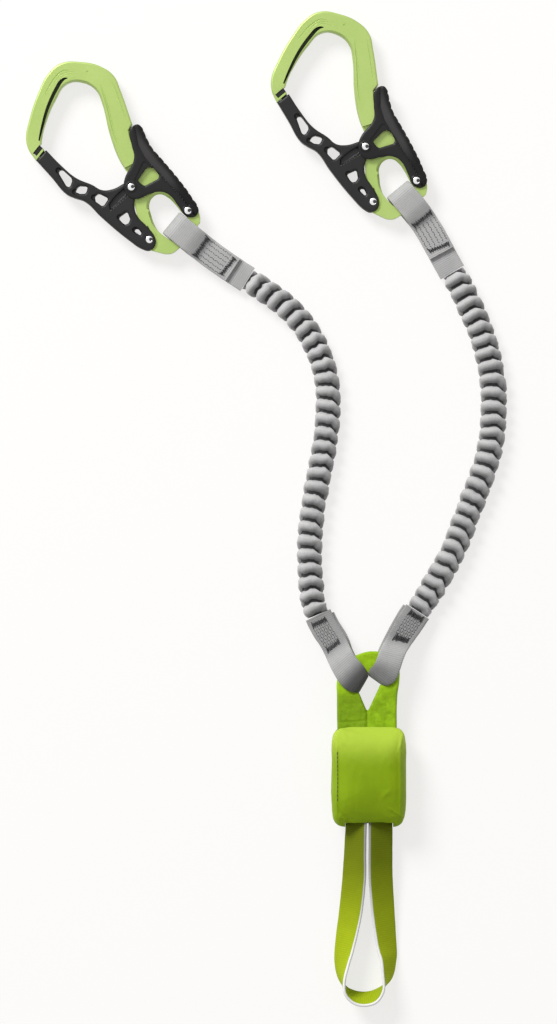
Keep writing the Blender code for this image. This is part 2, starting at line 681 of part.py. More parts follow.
def build_lever(side, parts, cutters, materials, parent):
    name = side + "_palm_lever"
    mesh = outline_mesh(
        name, [scaled(LEVER_OUTLINE_SHARES), corners(scaled(LEVER_WINDOW_SHARES))],
        LEVER_THICKNESS, LEVER_ROUND,
    )
    pivot = place_of(LEVER_PIVOT_SHARE)
    lever = add_object(name, mesh, materials["black"], parts, parent, (pivot.x, pivot.y, 0))
    fork = outline_mesh(
        side + "_lever_fork", [corners(scaled(LEVER_FORK_SHARES))], LEVER_FORK_WIDTH,
    )
    apply_boolean(lever, fork, "DIFFERENCE", cutters, parent)
    for label, share in (("pivot", LEVER_PIVOT_SHARE), ("pin", CAM_PIN_SHARE)):
        hole = disc_mesh(
            f"{side}_lever_{label}_hole", place_of(share), RIVET_RADIUS + FIT_GAP,
            -LEVER_THICKNESS, LEVER_THICKNESS,
        )
        apply_boolean(lever, hole, "DIFFERENCE", cutters, parent)
    return lever


def build_rivet(name, share, gripped, parts, materials, parent):
    """A turned rivet with a low domed head on each face of what it grips."""
    seat = gripped / 2 + HEAD_SEAT_GAP
    top = seat + RIVET_HEAD_HEIGHT
    crown = RIVET_HEAD_RADIUS * 0.7
    profile = [
        (0, top), (crown, top), (RIVET_HEAD_RADIUS, seat + RIVET_HEAD_HEIGHT / 3),
        (RIVET_HEAD_RADIUS, seat), (RIVET_RADIUS, seat), (RIVET_RADIUS, -seat),
        (RIVET_HEAD_RADIUS, -seat), (RIVET_HEAD_RADIUS, -seat - RIVET_HEAD_HEIGHT / 3),
        (crown, -top), (0, -top),
    ]
    mesh = bpy.data.meshes.new(name)
    points = [(x, 0, z) for x, z in profile]
    edges = [(n, n + 1) for n in range(len(points) - 1)]
    mesh.from_pydata(points, edges, [])
    rivet = bpy.data.objects.new(name, mesh)
    mesh.materials.append(materials["steel"])
    parts.objects.link(rivet)
    rivet.parent = parent
    place = place_of(share)
    rivet.location = (place.x, place.y, 0)
    turn = rivet.modifiers.new("turn", "SCREW")
    turn.steps = RIVET_SIDES
    turn.render_steps = RIVET_SIDES
    turn.use_merge_vertices = True
    turn.merge_threshold = 0.00001
    turn.use_smooth_shade = False
    return rivet


def build_spring(name, share, press_share, turns, way, plate, parts, materials, parent):
    """A torsion spring: a leg on the frame, the coil about the rivet, and a leg on the web."""
    pivot = place_of(share)
    press = place_of(press_share) - pivot
    radius = SPRING_MEAN_RADIUS
    start = plate / 2 - spring_depth(turns) + SPRING_WIRE / 2 + FIT_GAP / 2
    steps = int(turns * 10)
    rise = SPRING_PITCH * turns
    points = [(-radius, SPRING_LEG, start), (-radius, SPRING_LEG / 2, start)]
    for step in range(steps + 1):
        angle = math.pi + 2 * math.pi * turns * step / steps
        points.append((radius * math.cos(angle), radius * math.sin(angle), start + rise * step / steps))
    points.append((way * press.x, press.y, start + rise))
    placed = [(pivot.x + way * x, pivot.y + y, z) for x, y, z in points]
    report_least_gap(name, placed, SPRING_WIRE)
    mesh = tube_mesh(name, placed, SPRING_WIRE / 2, 1)
    return add_object(name, mesh, materials["steel"], parts, parent, (pivot.x, pivot.y, 0))


def report_least_gap(name, points, diameter):
    """Prints the least clear gap between a wire and itself, past two diameters along it."""
    fine, length = even_points([Vector(point) for point in points], 240)
    step = length / (len(fine) - 1)
    apart = int(2 * diameter / step) + 1
    least = min(
        (fine[b] - fine[a]).length
        for a in range(len(fine)) for b in range(a + apart, len(fine))
    )
    print(f"{name}: least gap to itself {(least - diameter) / MM:.2f} mm")


def strip_profile(cavity, level, stitch_start, front_end, back_end):
    """Stations of a webbing eye, (distance from the fold, height), from one tail to the other."""
    radius = cavity + STRAP_THICKNESS / 2
    closed = STRAP_THICKNESS / 2 + FIT_GAP / 2
    fold = []
    steps = 4
    for step in range(steps + 1):
        angle = math.pi / 2 * step / steps
        fold.append((STRAP_THICKNESS / 2 + radius * (1 - math.cos(angle)), radius * math.sin(angle)))
    level_end = fold[-1][0] + level
    for third in (1, 2):
        fold.append((fold[-1][0] + level / 3, radius))
    lay = []
    for share, height_share in ((0.0, 1.0), (0.3, 0.86), (0.7, 0.24), (1.0, 0.0)):
        lay.append((
            level_end + (stitch_start - level_end) * share,
            closed + (radius - closed) * height_share,
        ))

    def layer(end):
        stations = fold + lay
        middle = (stitch_start + end) / 2
        return stations + [(middle, closed), (end, closed)]

    front = layer(front_end)
    back = [(s, -h) for s, h in layer(back_end)[1:]]
    return back[::-1] + front


def middle_of(pair):
    """Midway between the two selvedges of a strap, given as (x, y, x, y)."""
    return Vector(((pair[0] + pair[2]) / 2, (pair[1] + pair[3]) / 2))


def strap_at(plan, distance):
    """The strap's two selvedges at a distance along its middle line."""
    for a, b in zip(plan, plan[1:]):
        span = (middle_of(b) - middle_of(a)).length
        if distance <= span:
            break
        distance -= span
    else:
        distance += span
    return a + (b - a) * (distance / span)


def strap_length(plan):
    return sum((middle_of(b) - middle_of(a)).length for a, b in zip(plan, plan[1:]))


def build_eye(name, plan, profile, level_until, heights, parts, materials):
    """A webbing eye: one strip laid along the plan, over what it holds and back under it.

    It keeps the first height until it is past what it holds, then eases to the sleeve's.
    """
    total = strap_length(plan)
    edges = []
    for distance, lift in profile:
        pair = strap_at(plan, distance)
        share = min(max((distance - level_until) / (total - level_until), 0.0), 1.0)
        ease = share * share * (3 - 2 * share)
        height = heights[0] + (heights[1] - heights[0]) * ease + lift
        edges.append((Vector((pair[0], pair[1], height)), Vector((pair[2], pair[3], height))))
    middles = [(left + right) / 2 for left, right in edges]
    stations = []
    for number, (left, right) in enumerate(edges):
        before = middles[max(number - 1, 0)]
        after = middles[min(number + 1, len(middles) - 1)]
        across = (right - left).normalized()
        normal = across.cross(after - before).normalized()
        stations.append((middles[number], across, normal, (right - left).length, STRAP_THICKNESS))
    mesh = band_mesh(name, stations)
    return add_object(name, mesh, materials["grey"], parts)


def selvedges(middle, ahead, width):
    """Both selvedges of a strap that is square to its direction, as (x, y, x, y)."""
    half = Vector((ahead.y, -ahead.x)) * width / 2
    return Vector((*(middle - half), *(middle + half)))


def build_upper_eye(side, parts, materials):
    """The eye round the bar: straight across the bar, then bending to meet the sleeve."""
    x, y, lean = CARABINER_PLACES[side]
    inward = turned(bar_axes()[2], (0, 0), lean)
    centre = Vector((x, y))
    cavity = bar_reach() + FIT_GAP
    reach = cavity + STRAP_THICKNESS + EYE_SLACK
    fold = centre + inward * reach
    straight = centre - inward * cavity
    end, ahead = sleeve_meeting(side, -1, -2)
    pull = (end - straight).length / 2.6
    first = straight - inward * pull
    second = end + ahead * pull
    plan = [selvedges(fold, -inward, STRAP_WIDTH)]
    steps = 10
    for step in range(steps + 1):
        t = step / steps
        middle = (
            straight * (1 - t) ** 3 + first * 3 * t * (1 - t) ** 2
            + second * 3 * t * t * (1 - t) + end * t ** 3
        )
        way = (
            (first - straight) * (1 - t) ** 2 + (second - first) * 2 * t * (1 - t)
            + (end - second) * t * t
        )
        plan.append(selvedges(middle, way.normalized(), STRAP_WIDTH))
    profile = strip_profile(
        cavity, EYE_SLACK + cavity, UPPER_STITCH_START, UPPER_TAIL, strap_length(plan),
    )
    return build_eye(
        side + "_upper_eye", plan, profile, reach + cavity, (PLANE_HEIGHT, SLEEVE_HEIGHT),
        parts, materials,
    )


def sleeve_points(side):
    """Evenly spaced points along the sleeve's middle line, from the arch to the carabiner."""
    route = [(x * MM, y * MM, 0) for x, y in SLEEVE_ROUTES_MM[side]]
    points, _ = even_points(smooth_curve(route), SLEEVE_RIBS * STATIONS_PER_RIB + 1)
    return points


def sleeve_meeting(side, end, inner):
    """Where a strap meets the sleeve's end, and the direction out of the sleeve there."""
    points = sleeve_points(side)
    ahead = (points[end] - points[inner]).normalized()
    place = points[end] + ahead * FIT_GAP
    return Vector((place.x, place.y)), Vector((ahead.x, ahead.y))


def build_lower_eye(side, parts, materials):
    """The eye round the arch, gathered towards its fold in the arch's hole."""
    end, ahead = sleeve_meeting(side, 0, 1)
    unit = ARCH_SCALE_LENGTH / ARCH_PARTS_SHARE
    route = []
    for left_x, left_y, right_x, right_y in LOWER_EYE_SHARES[side]:
        route.append(
            (left_x * unit, ARCH_FOOT_Y + left_y * unit, right_x * unit, ARCH_FOOT_Y + right_y * unit)
        )
    route.append(selvedges(end + ahead * STRAP_WIDTH / 2, -ahead, STRAP_WIDTH))
    route.append(selvedges(end, -ahead, STRAP_WIDTH))
    plan = smooth_curve(route, 4)
    cavity = ARCH_THICKNESS / 2 + SLIDE_GAP
    profile = strip_profile(
        cavity, LOWER_EYE_LEVEL, LOWER_STITCH_START, strap_length(plan), LOWER_TAIL,
    )
    level_until = cavity + STRAP_THICKNESS + LOWER_EYE_LEVEL
    return build_eye(
        side + "_lower_eye", plan, profile, level_until, (ARCH_HEIGHT, SLEEVE_HEIGHT),
        parts, materials,
    )


def build_arm(side, parts, cutters, materials):
    """The pleated sleeve, ridges and valleys by rule, with the elastic core in its bore."""
    points = sleeve_points(side)
    shares = []
    for number in range(len(points)):
        half = RIDGE_HALF_WIDTH if number % STATIONS_PER_RIB else VALLEY_HALF_WIDTH
        if number in (0, len(points) - 1):
            half = SLEEVE_END_HALF_WIDTH
        shares.append(half / RIDGE_HALF_WIDTH)
    mesh = tube_mesh(
        side + "_arm_sleeve", points, RIDGE_HALF_WIDTH, 2, shares, SLEEVE_FLATTENING, SLEEVE_HEIGHT,
    )
    sleeve = add_object(side + "_arm_sleeve", mesh, materials["grey"], parts)
    few = points[::STATIONS_PER_RIB]
    first = few[0] + (few[0] - few[1]).normalized() * OVERRUN
    last = few[-1] + (few[-1] - few[-2]).normalized() * OVERRUN
    bore = tube_mesh(
        side + "_sleeve_bore", [first] + few + [last], SLEEVE_BORE_HALF_WIDTH, 2,
        None, SLEEVE_FLATTENING, SLEEVE_HEIGHT,
    )
    apply_boolean(sleeve, bore, "DIFFERENCE", cutters)
    inside = [few[0].lerp(few[1], 1 / STATIONS_PER_RIB)] + few[1:-1]
    inside.append(few[-1].lerp(few[-2], 1 / STATIONS_PER_RIB))
    core_mesh = tube_mesh(
        side + "_elastic_core", inside, CORE_HALF_WIDTH, 2, None, SLEEVE_FLATTENING, SLEEVE_HEIGHT,
    )
    add_object(side + "_elastic_core", core_mesh, materials["elastic"], parts)
    return sleeve


def build_carabiner(side, parts, cutters, materials):
    x, y, lean = CARABINER_PLACES[side]
    anchor = bpy.data.objects.new(side + "_carabiner_place", None)
    parts.objects.link(anchor)
    centre = place_of(BAR_CENTRE_SHARE)
    turn = Matrix.Rotation(math.radians(lean), 4, "Z")
    anchor.matrix_world = (
        Matrix.Translation((x, y, PLANE_HEIGHT)) @ turn @ Matrix.Translation((-centre.x, -centre.y, 0))
    )
    build_frame(side, parts, cutters, materials, anchor)
    build_gate(side, parts, cutters, materials, anchor)
    build_lever(side, parts, cutters, materials, anchor)
    build_rivet(side + "_gate_rivet", GATE_PIVOT_SHARE, GATE_THICKNESS, parts, materials, anchor)
    build_rivet(side + "_lever_rivet", LEVER_PIVOT_SHARE, LEVER_THICKNESS, parts, materials, anchor)
    build_rivet(side + "_cam_pin", CAM_PIN_SHARE, LEVER_THICKNESS, parts, materials, anchor)
    build_spring(
        side + "_lever_spring", LEVER_PIVOT_SHARE, LEVER_SPRING_PRESS_SHARE, LEVER_SPRING_TURNS, 1,
        EYE_PLATE_THICKNESS, parts, materials, anchor,
    )
    build_spring(
        side + "_gate_spring", GATE_PIVOT_SHARE, GATE_SPRING_PRESS_SHARE, GATE_SPRING_TURNS, -1,
        TANG_THICKNESS, parts, materials, anchor,
    )


def build_arch(parts, materials):
    """The webbing arch that holds both arms; its foot is sewn to the tear webbing."""
    unit = ARCH_SCALE_LENGTH / ARCH_PARTS_SHARE
    outlines = []
    for shares in (ARCH_OUTLINE_SHARES, ARCH_HOLE_SHARES):
        outlines.append([(x * unit, ARCH_FOOT_Y + y * unit, *rest) for x, y, *rest in shares])
    mesh = outline_mesh(
        "absorber_arch", outlines, ARCH_THICKNESS, ARCH_ROUND, 0, 3, ARCH_HEIGHT,
    )
    return add_object("absorber_arch", mesh, materials["green"], parts)


def pillow_mesh(name, half_sizes, centre, columns=28, rows=14):
    """A crowned box: a superellipsoid, square in plan and softer in height."""
    shape = bmesh.new()
    bmesh.ops.create_uvsphere(shape, u_segments=columns, v_segments=rows, radius=1)

    def softened(value, power):
        return math.copysign(abs(value) ** (2 / power), value)

    for vertex in shape.verts:
        x, y, z = vertex.co
        ring = math.hypot(x, y)
        spread = softened(ring, POUCH_CROWN_POWER)
        across = softened(x / ring, POUCH_PLAN_POWER) if ring > 1e-6 else 0
        along = softened(y / ring, POUCH_PLAN_POWER) if ring > 1e-6 else 0
        vertex.co = (
            half_sizes[0] * spread * across + centre[0],
            half_sizes[1] * spread * along + centre[1],
            half_sizes[2] * softened(z, POUCH_CROWN_POWER) + centre[2],
        )
    mesh = bpy.data.meshes.new(name)
    shape.to_mesh(mesh)
    shape.free()
    return mesh


def build_pouch(parts, cutters, materials):
    """The fabric cover: a crowned shell, flat at its back, with a mouth at each end."""
    centre = (POUCH_CENTRE_X, POUCH_CENTRE_Y, POUCH_CENTRE_Z)
    halves = (POUCH_WIDTH / 2, POUCH_LENGTH / 2, POUCH_DEPTH / 2)
    pouch = add_object("pouch_cover", pillow_mesh("pouch_cover", halves, centre), materials["green"], parts)
    inner = [half - POUCH_WALL for half in halves]
    inner[2] -= POUCH_FLAT_CUT
    apply_boolean(pouch, pillow_mesh("pouch_inside", inner, centre, 24, 12), "DIFFERENCE", cutters)
    below = box_mesh(
        "pouch_back_cut", (-POUCH_WIDTH, -POUCH_LENGTH, -POUCH_DEPTH), (POUCH_WIDTH, POUCH_LENGTH, 0),
    )
    apply_boolean(pouch, below, "DIFFERENCE", cutters)
    unit = ARCH_SCALE_LENGTH / ARCH_PARTS_SHARE
    arch_low, arch_high = ARCH_OUTLINE_SHARES[-1][0] * unit, ARCH_OUTLINE_SHARES[2][0] * unit
    top = box_mesh(
        "top_mouth",
        (arch_low - MOUTH_SIDE_GAP, POUCH_CENTRE_Y, ARCH_HEIGHT - TOP_MOUTH_HEIGHT / 2),
        (arch_high + MOUTH_SIDE_GAP, POUCH_LENGTH, ARCH_HEIGHT + TOP_MOUTH_HEIGHT / 2),
    )
    apply_boolean(pouch, top, "DIFFERENCE", cutters)
    reach = LOOP_EXIT_HALF_WIDTH + MOUTH_SIDE_GAP
    bottom = box_mesh(
        "bottom_mouth",
        (LOOP_EXIT_CENTRE_X - reach, -POUCH_LENGTH, BOTTOM_MOUTH_LOW),
        (LOOP_EXIT_CENTRE_X + reach, POUCH_CENTRE_Y, BOTTOM_MOUTH_HIGH),
    )
    apply_boolean(pouch, bottom, "DIFFERENCE", cutters)
    return pouch


def build_tear_webbing(parts, materials):
    """The energy absorber: one long webbing, folded to and fro and stitched to tear open."""
    stations = []
    radius = TEAR_FOLD_PITCH / 2
    top_y = ARCH_FOOT_Y - FIT_GAP - radius - TEAR_WEBBING_THICKNESS / 2
    bottom_y = top_y - TEAR_RUN_LENGTH + 2 * radius
    lowest = POUCH_CENTRE_Z - TEAR_FOLD_PITCH * (TEAR_FOLDS - 1) / 2
    points = []
    for run in range(TEAR_FOLDS):
        z = lowest + run * TEAR_FOLD_PITCH
        start, end = (bottom_y, top_y) if run % 2 == 0 else (top_y, bottom_y)
        points.append((start, z))
        points.append((end, z))
        if run < TEAR_FOLDS - 1:
            way = 1 if end == top_y else -1
            for step in (1, 2, 3):
                angle = math.pi * step / 4
                points.append((end + way * radius * math.sin(angle), z + radius * (1 - math.cos(angle))))
    middles = [Vector((POUCH_CENTRE_X, y, z)) for y, z in points]
    across = Vector((1, 0, 0))
    for number, middle in enumerate(middles):
        ahead = middles[min(number + 1, len(middles) - 1)] - middles[max(number - 1, 0)]
        normal = across.cross(ahead).normalized()
        stations.append((middle, across, normal, TEAR_WEBBING_WIDTH, TEAR_WEBBING_THICKNESS))
    mesh = band_mesh("tear_webbing_pack", stations)
    return add_object("tear_webbing_pack", mesh, materials["tear"], parts)


def build_tie_in_loop(parts, materials):
    """The loop that is hitched to the harness: a band standing on edge round its far end."""
    unit = LOOP_LENGTH / LOOP_PARTS_SHARE
    rows = [
        (x * unit, LOOP_MOUTH_Y + y * unit, roll, height * STRAP_WIDTH)
        for x, y, roll, height in LOOP_STATION_SHARES
    ]
    middles = [Vector((x, y, z)) for x, y, roll, z in rows]
    stations = []
    for number, (x, y, roll, z) in enumerate(rows):
        ahead = middles[min(number + 1, len(rows) - 1)] - middles[max(number - 1, 0)]
        ahead.normalize()
        inward = Vector((-ahead.y, ahead.x, 0)).normalized()
        angle = math.radians(roll)
        across = (inward * math.cos(angle) + Vector((0, 0, 1)) * math.sin(angle))
        across = (across - ahead * across.dot(ahead)).normalized()
        normal = across.cross(ahead).normalized()
        stations.append((middles[number], across, normal, STRAP_WIDTH, LOOP_THICKNESS))
    mesh = band_mesh("tie_in_loop", stations)
    hinge = (0, LOOP_MOUTH_Y + POUCH_WALL, POUCH_CENTRE_Z)
    return add_object("tie_in_loop", mesh, materials["green"], parts, None, hinge)


def main():
    clear_scene()
    parts = new_collection("via_ferrata_lanyard")
    cutters = new_collection("cutters")
    materials = make_materials()
    for side in ("left", "right"):
        build_carabiner(side, parts, cutters, materials)
        build_upper_eye(side, parts, materials)
        build_arm(side, parts, cutters, materials)
        build_lower_eye(side, parts, materials)
    build_arch(parts, materials)
    build_pouch(parts, cutters, materials)
    build_tear_webbing(parts, materials)
    build_tie_in_loop(parts, materials)


main()
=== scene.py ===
"""Looks of the via ferrata lanyard: anodised frames, satin black gates and levers, pleated
elastic arms, stitched webbing eyes, a cloth pouch and the green tie-in loop.

Metres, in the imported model's frame: +Z up, lying on the floor, +Y towards the carabiners.
"""
import math

import bmesh
import bpy
from mathutils import Matrix, Vector, noise
from mathutils.bvhtree import BVHTree


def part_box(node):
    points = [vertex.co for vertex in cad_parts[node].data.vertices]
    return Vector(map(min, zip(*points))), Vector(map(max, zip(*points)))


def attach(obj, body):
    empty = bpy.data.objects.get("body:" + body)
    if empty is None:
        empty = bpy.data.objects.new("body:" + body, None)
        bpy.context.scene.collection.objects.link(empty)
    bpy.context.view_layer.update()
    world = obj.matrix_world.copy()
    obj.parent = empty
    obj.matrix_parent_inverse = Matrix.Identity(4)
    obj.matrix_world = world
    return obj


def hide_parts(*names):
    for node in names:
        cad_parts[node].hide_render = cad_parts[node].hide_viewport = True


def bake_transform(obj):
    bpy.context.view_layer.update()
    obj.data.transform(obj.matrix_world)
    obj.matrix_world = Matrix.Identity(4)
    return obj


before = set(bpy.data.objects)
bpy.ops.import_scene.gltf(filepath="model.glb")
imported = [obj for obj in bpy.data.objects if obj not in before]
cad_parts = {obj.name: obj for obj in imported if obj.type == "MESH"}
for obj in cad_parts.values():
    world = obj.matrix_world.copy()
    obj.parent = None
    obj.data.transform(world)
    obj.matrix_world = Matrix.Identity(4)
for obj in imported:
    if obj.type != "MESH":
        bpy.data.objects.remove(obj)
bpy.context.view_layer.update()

MM = 0.001
SIDES = ("left", "right")

# Camera: one pixel of the photograph is 0.6 mm, and the origin is at pixel 370.5, 777
PIXEL = 0.6 * MM
IMAGE_WIDTH = 557
IMAGE_HEIGHT = 1024
ORIGIN_PIXEL = (370.5, 777)
CAMERA_HEIGHT = 2600 * MM
FOCUS_HEIGHT = 7 * MM
SENSOR_HEIGHT_MM = 24

# Threads of the pouch's and the arch's cloth
CLOTH_PITCH = 0.62 * MM

# Studio: fill and key together light a level surface at 1
FLOOR_COLOUR = (1.0, 0.985, 0.975)
FLOOR_GLOW = 0.74
FILL_LIGHT = 0.4
KEY_OFFSET = (-1.84, 2.56, 2.46)
KEY_POWER = 154
KEY_SIZE = 1.6
FLOOR_HALF = 3.0
SEEING_RAYS = ("Is Camera Ray", "Is Glossy Ray", "Is Transmission Ray")

# The tables of shares are in units of PART
PART = 1.0 * MM

# Clearances and sizes of the CAD model
FIT_GAP = 0.3 * MM
SLIDE_GAP = 0.4 * MM
OVERRUN = 4 * MM
STRAP_WIDTH = 16.4 * MM
STRAP_THICKNESS = 1.8 * MM
FRAME_THICKNESS = 8.4 * MM
EYE_PLATE_THICKNESS = 7.2 * MM
TANG_THICKNESS = 3.8 * MM
GATE_THICKNESS = 8.4 * MM
GATE_FORK_WIDTH = TANG_THICKNESS + 2 * FIT_GAP
LEVER_THICKNESS = 12.4 * MM
LEVER_FORK_WIDTH = GATE_THICKNESS + 2 * FIT_GAP
EYE_SIDE_GAP = 0.4 * MM
EYE_SLACK = 3.6 * MM
BAR_CHAMFER_REACH = 4.2 * MM
RIVET_RADIUS = 1.5 * MM
RIVET_HEAD_RADIUS = 2.1 * MM
RIVET_HEAD_HEIGHT = 0.4 * MM
HEAD_SEAT_GAP = 0.1 * MM
RIVET_HOLE_RADIUS = RIVET_RADIUS + FIT_GAP
# A rivet's head from its dimple outwards: radius, height and how far it is off the middle
RIVET_HEAD_SHARES = [
    (0.4, 0.1, 1), (0.46, 0.5, 1), (0.5, 0.92, 0.95), (0.59, 1, 0.75), (0.75, 0.92, 0.4),
    (0.91, 0.62, 0.12), (1.0, 0.25, 0), (0.98, 0, 0),
]
RIVET_DIMPLE_SHIFT_SHARE = (0.41, -0.15)
RIVET_DIMPLE_RADIUS_SHARE = 0.49
SPRING_POCKET_RADIUS = 3.15 * MM
SPRING_LEG = 7.9 * MM
SPRING_WALL = 3.05 * MM
LEVER_POCKET_DEPTH = 3.775 * MM
GATE_POCKET_DEPTH = 2.625 * MM
CAM_SLOT_FLOOR = 2.75 * MM
LEVER_TRAVEL_DEG = 5.5
GATE_RATIO = 4.2
FRAME_CUT_TOP = FRAME_THICKNESS / 2 + OVERRUN
PLANE_HEIGHT = LEVER_THICKNESS / 2 + HEAD_SEAT_GAP + RIVET_HEAD_HEIGHT

# Finer rounds than the CAD model's
FRAME_ROUND = 1.1 * MM
GATE_ROUND = 1.3 * MM
LEVER_ROUND = 1.7 * MM
EYE_FLARE = 2.0 * MM
OPENING_FLARE = 2.0 * MM
FLARE_DEPTH = 2.6 * MM
FLARE_GAP = 0.12 * MM
EYE_FLARE_DEPTH = 2.4 * MM
EYE_FLARE_REST = 0.3 * MM
GATE_CORE = GATE_FORK_WIDTH / 2 + 0.5 * MM
LEVER_CORE = LEVER_FORK_WIDTH / 2 + 0.3 * MM

# The carabiner's outlines, from the lever's rivet; a point marked CORNER is sharp
CORNER = "corner"
LEVER_PIVOT_SHARE = (0.0, 0.0)
GATE_PIVOT_SHARE = (-28.5, -4.3)
CAM_PIN_SHARE = (-23.3, 28.5)
BAR_CENTRE_SHARE = (-8.5, -10.2)
BAR_HALF_WIDTH_SHARE = 3.75
BAR_SLOPE_DEG = 23.0
FRAME_OUTLINE_SHARES = [
    (-66.0, 66.5, CORNER), (-66.6, 71.6), (-67.2, 77), (-65.4, 84), (-58.5, 92.8), (-45, 105.5),
    (-35, 112.2), (-26, 114), (-15, 109.2), (-5.2, 100.6), (-1.2, 92), (-1.7, 84), (-5.1, 61.8, CORNER),
    (-8.6, 59.2, CORNER), (-9.9, 52), (-8.6, 41.5), (-5.2, 30.5), (-2.6, 18), (0.2, 8.2),
    (4.6, 4.0), (5.5, -1.5), (4.7, -6.4), (3.1, -9.35, CORNER), (-14.6, -16.9, CORNER),
    (-21, -17.6), (-28.2, -12.6), (-32.2, -8.2), (-33.3, -4.4), (-31.7, -0.5), (-30.1, 4.6),
    (-28.0, 13), (-24.8, 22.3), (-19.9, 26.6), (-19.7, 32), (-21.4, 38.6), (-22, 48),
    (-19.8, 63.2), (-15.2, 81.5), (-14.8, 90), (-19.3, 97.5), (-28.4, 101.6), (-38.8, 96.4),
    (-49.9, 87.5), (-56.8, 79.9), (-58.8, 76.4), (-58.9, 69.5, CORNER),
]
# The opening's edge from the spine to the nose, with the flare of its edge at each place
OPENING_FLARE_SHARES = [
    (-21.4, 40, 0.2), (-22, 48, 0.45), (-19.8, 63.2, 0.6), (-15.2, 81.5, 0.6), (-14.8, 90, 0.6),
    (-19.3, 97.5, 0.7), (-27.4, 101.2, 0.45), (-38.8, 96.4, 0.0), (-49.9, 87.5, 0.0), (-56.8, 79.9, 0.0),
]
OPENING_INSIDE_SHARES = [(-45, 74), (-34, 52)]
# The eye's edge, along the bar as a share of the strap's width and into the eye in units of PART
EYE_SHARES = [
    (-0.5, 3.75, CORNER), (0.5, 3.75, CORNER), (0.52, 9), (0.59, 15), (0.615, 20.5),
    (0.53, 25.6), (0.3, 27.8), (0.0, 26.6), (-0.23, 21.8), (-0.4, 17.2), (-0.51, 12),
]
LOWER_RECESS_SHARES = [(-50, -28), (16, -28), (16, 22.8), (-50, 22.8)]
TANG_RECESS_SHARES = [
    (-45, -8.2), (-33.5, -13), (-26.6, -10.6), (-23.8, -8.0), (-23.2, -4), (-23.2, 1),
    (-22.4, 6), (-21.6, 10.5), (-17.5, 13), (-9.5, 13), (-5.4, 17.5), (-5.2, 22),
    (0, 27.5), (0, 40.6), (-45, 40.6),
]
GATE_OUTLINE_SHARES = [
    (-66.1, 69.3, CORNER), (-62.9, 56.5), (-59.6, 43), (-56.6, 39), (-52, 34), (-47.8, 21.5),
    (-39.2, 0.4), (-35.2, -6.9), (-31.2, -10.1), (-26.7, -8.6), (-24.9, -4.2), (-25.4, 0.8), (-26.4, 4.6),
    (-28.2, 11.2), (-27.5, 16.8), (-25.2, 20.6), (-21.5, 25.4), (-20.2, 29.2), (-22.6, 31.8),
    (-34, 32.9), (-39.6, 35.3), (-43.4, 40.9), (-49.8, 48.8), (-54.4, 60), (-58.0, 72.3, CORNER),
]
GATE_WINDOW_SHARES = [
    [(-57.8, 56.6), (-57.1, 57.6), (-55.4, 57.5), (-54.7, 56.7), (-52.5, 50.6), (-52.9, 48.6),
     (-55.2, 46.4), (-56.6, 46.3), (-57.4, 47.6)],
    [(-54.3, 41.9), (-52.0, 43.6), (-50.2, 43.8), (-47.0, 41.8), (-46.7, 40.6), (-48.4, 38.7),
     (-49.7, 38.2), (-52.4, 39.5)],
    [(-46.3, 31.1), (-45.3, 34.0), (-42.8, 34.5), (-41.9, 33.9), (-39.0, 29.9), (-39.3, 28.6),
     (-42.8, 26.7), (-44.2, 26.9)],
    [(-38.8, 15.4), (-37.8, 16.2), (-33.1, 16.9), (-32.5, 16.4), (-33.0, 12.0), (-34.9, 10.3),
     (-37.0, 10.4), (-38.0, 12.0)],
    [(-34.1, 4.6), (-32.9, 5.4), (-31.3, 4.6), (-30.9, 1.5), (-31.9, 0.5), (-33.3, 2.2)],
]
GATE_POCKET_SHARES = [(-41.4, 21.8), (-40.2, 26.2), (-34.2, 27.6), (-26.6, 29.8), (-27.8, 24.8)]
GATE_SCOOP_SHARES = [(-57.2, 57.9), (-54.4, 41.9), (-46.0, 33.6), (-37.9, 15.9), (-33.4, 4.9)]
GATE_FORK_SHARES = [
    (-36.4, 38), (-35.4, 30), (-34.9, 25), (-36.6, 19), (-35.2, 10.5), (-34.4, 3),
    (-34.2, -1), (-35.4, -4.6), (-38, -9), (-38, -16), (-12, -16), (-12, 38),
]
LEVER_OUTLINE_SHARES = [
    (-9.0, 58.2), (-7.0, 60.0), (-2.8, 60.3), (-1.2, 58.6), (-1.3, 51), (-1.3, 44), (0.6, 35.5), (4.2, 18.5),
    (6.1, 5), (6.3, -1.5), (3.6, -4.7), (-0.4, -4.4), (-3.1, -0.6), (-4, 5.2), (-5.6, 13.6),
    (-9.4, 17.8), (-16, 19.6), (-24.6, 20.9), (-27.6, 24.4), (-27.4, 30.4), (-24.6, 34.9),
    (-13.8, 43.1), (-11.5, 50.5),
]
LEVER_LEDGE_SHARES = [
    (-20.1, 31.2), (-19.3, 29.6), (-16.7, 26.0), (-15.6, 25.4), (-6.9, 25.4), (-5.8, 26.3),
    (-5.7, 28), (-8.0, 37.4), (-9.1, 38.6), (-10.7, 38.3),
]
LEVER_WINDOW_SHARES = [
    (-18.0, 30.1), (-17.0, 27.2), (-15.8, 25.4), (-6.9, 25.4), (-5.6, 26.6), (-5.5, 27.6), (-6.2, 32.1),
    (-8.3, 34.0), (-10.5, 33.9),
]
LEVER_FORK_SHARES = [
    (-36, -12), (12, -12), (12, 9), (2.7, 9), (2.1, 15), (0.4, 26), (-2.1, 37), (-3.3, 43),
    (-3.7, 50), (-3.5, 57.2), (4, 57.2), (4, 70), (-36, 70),
]

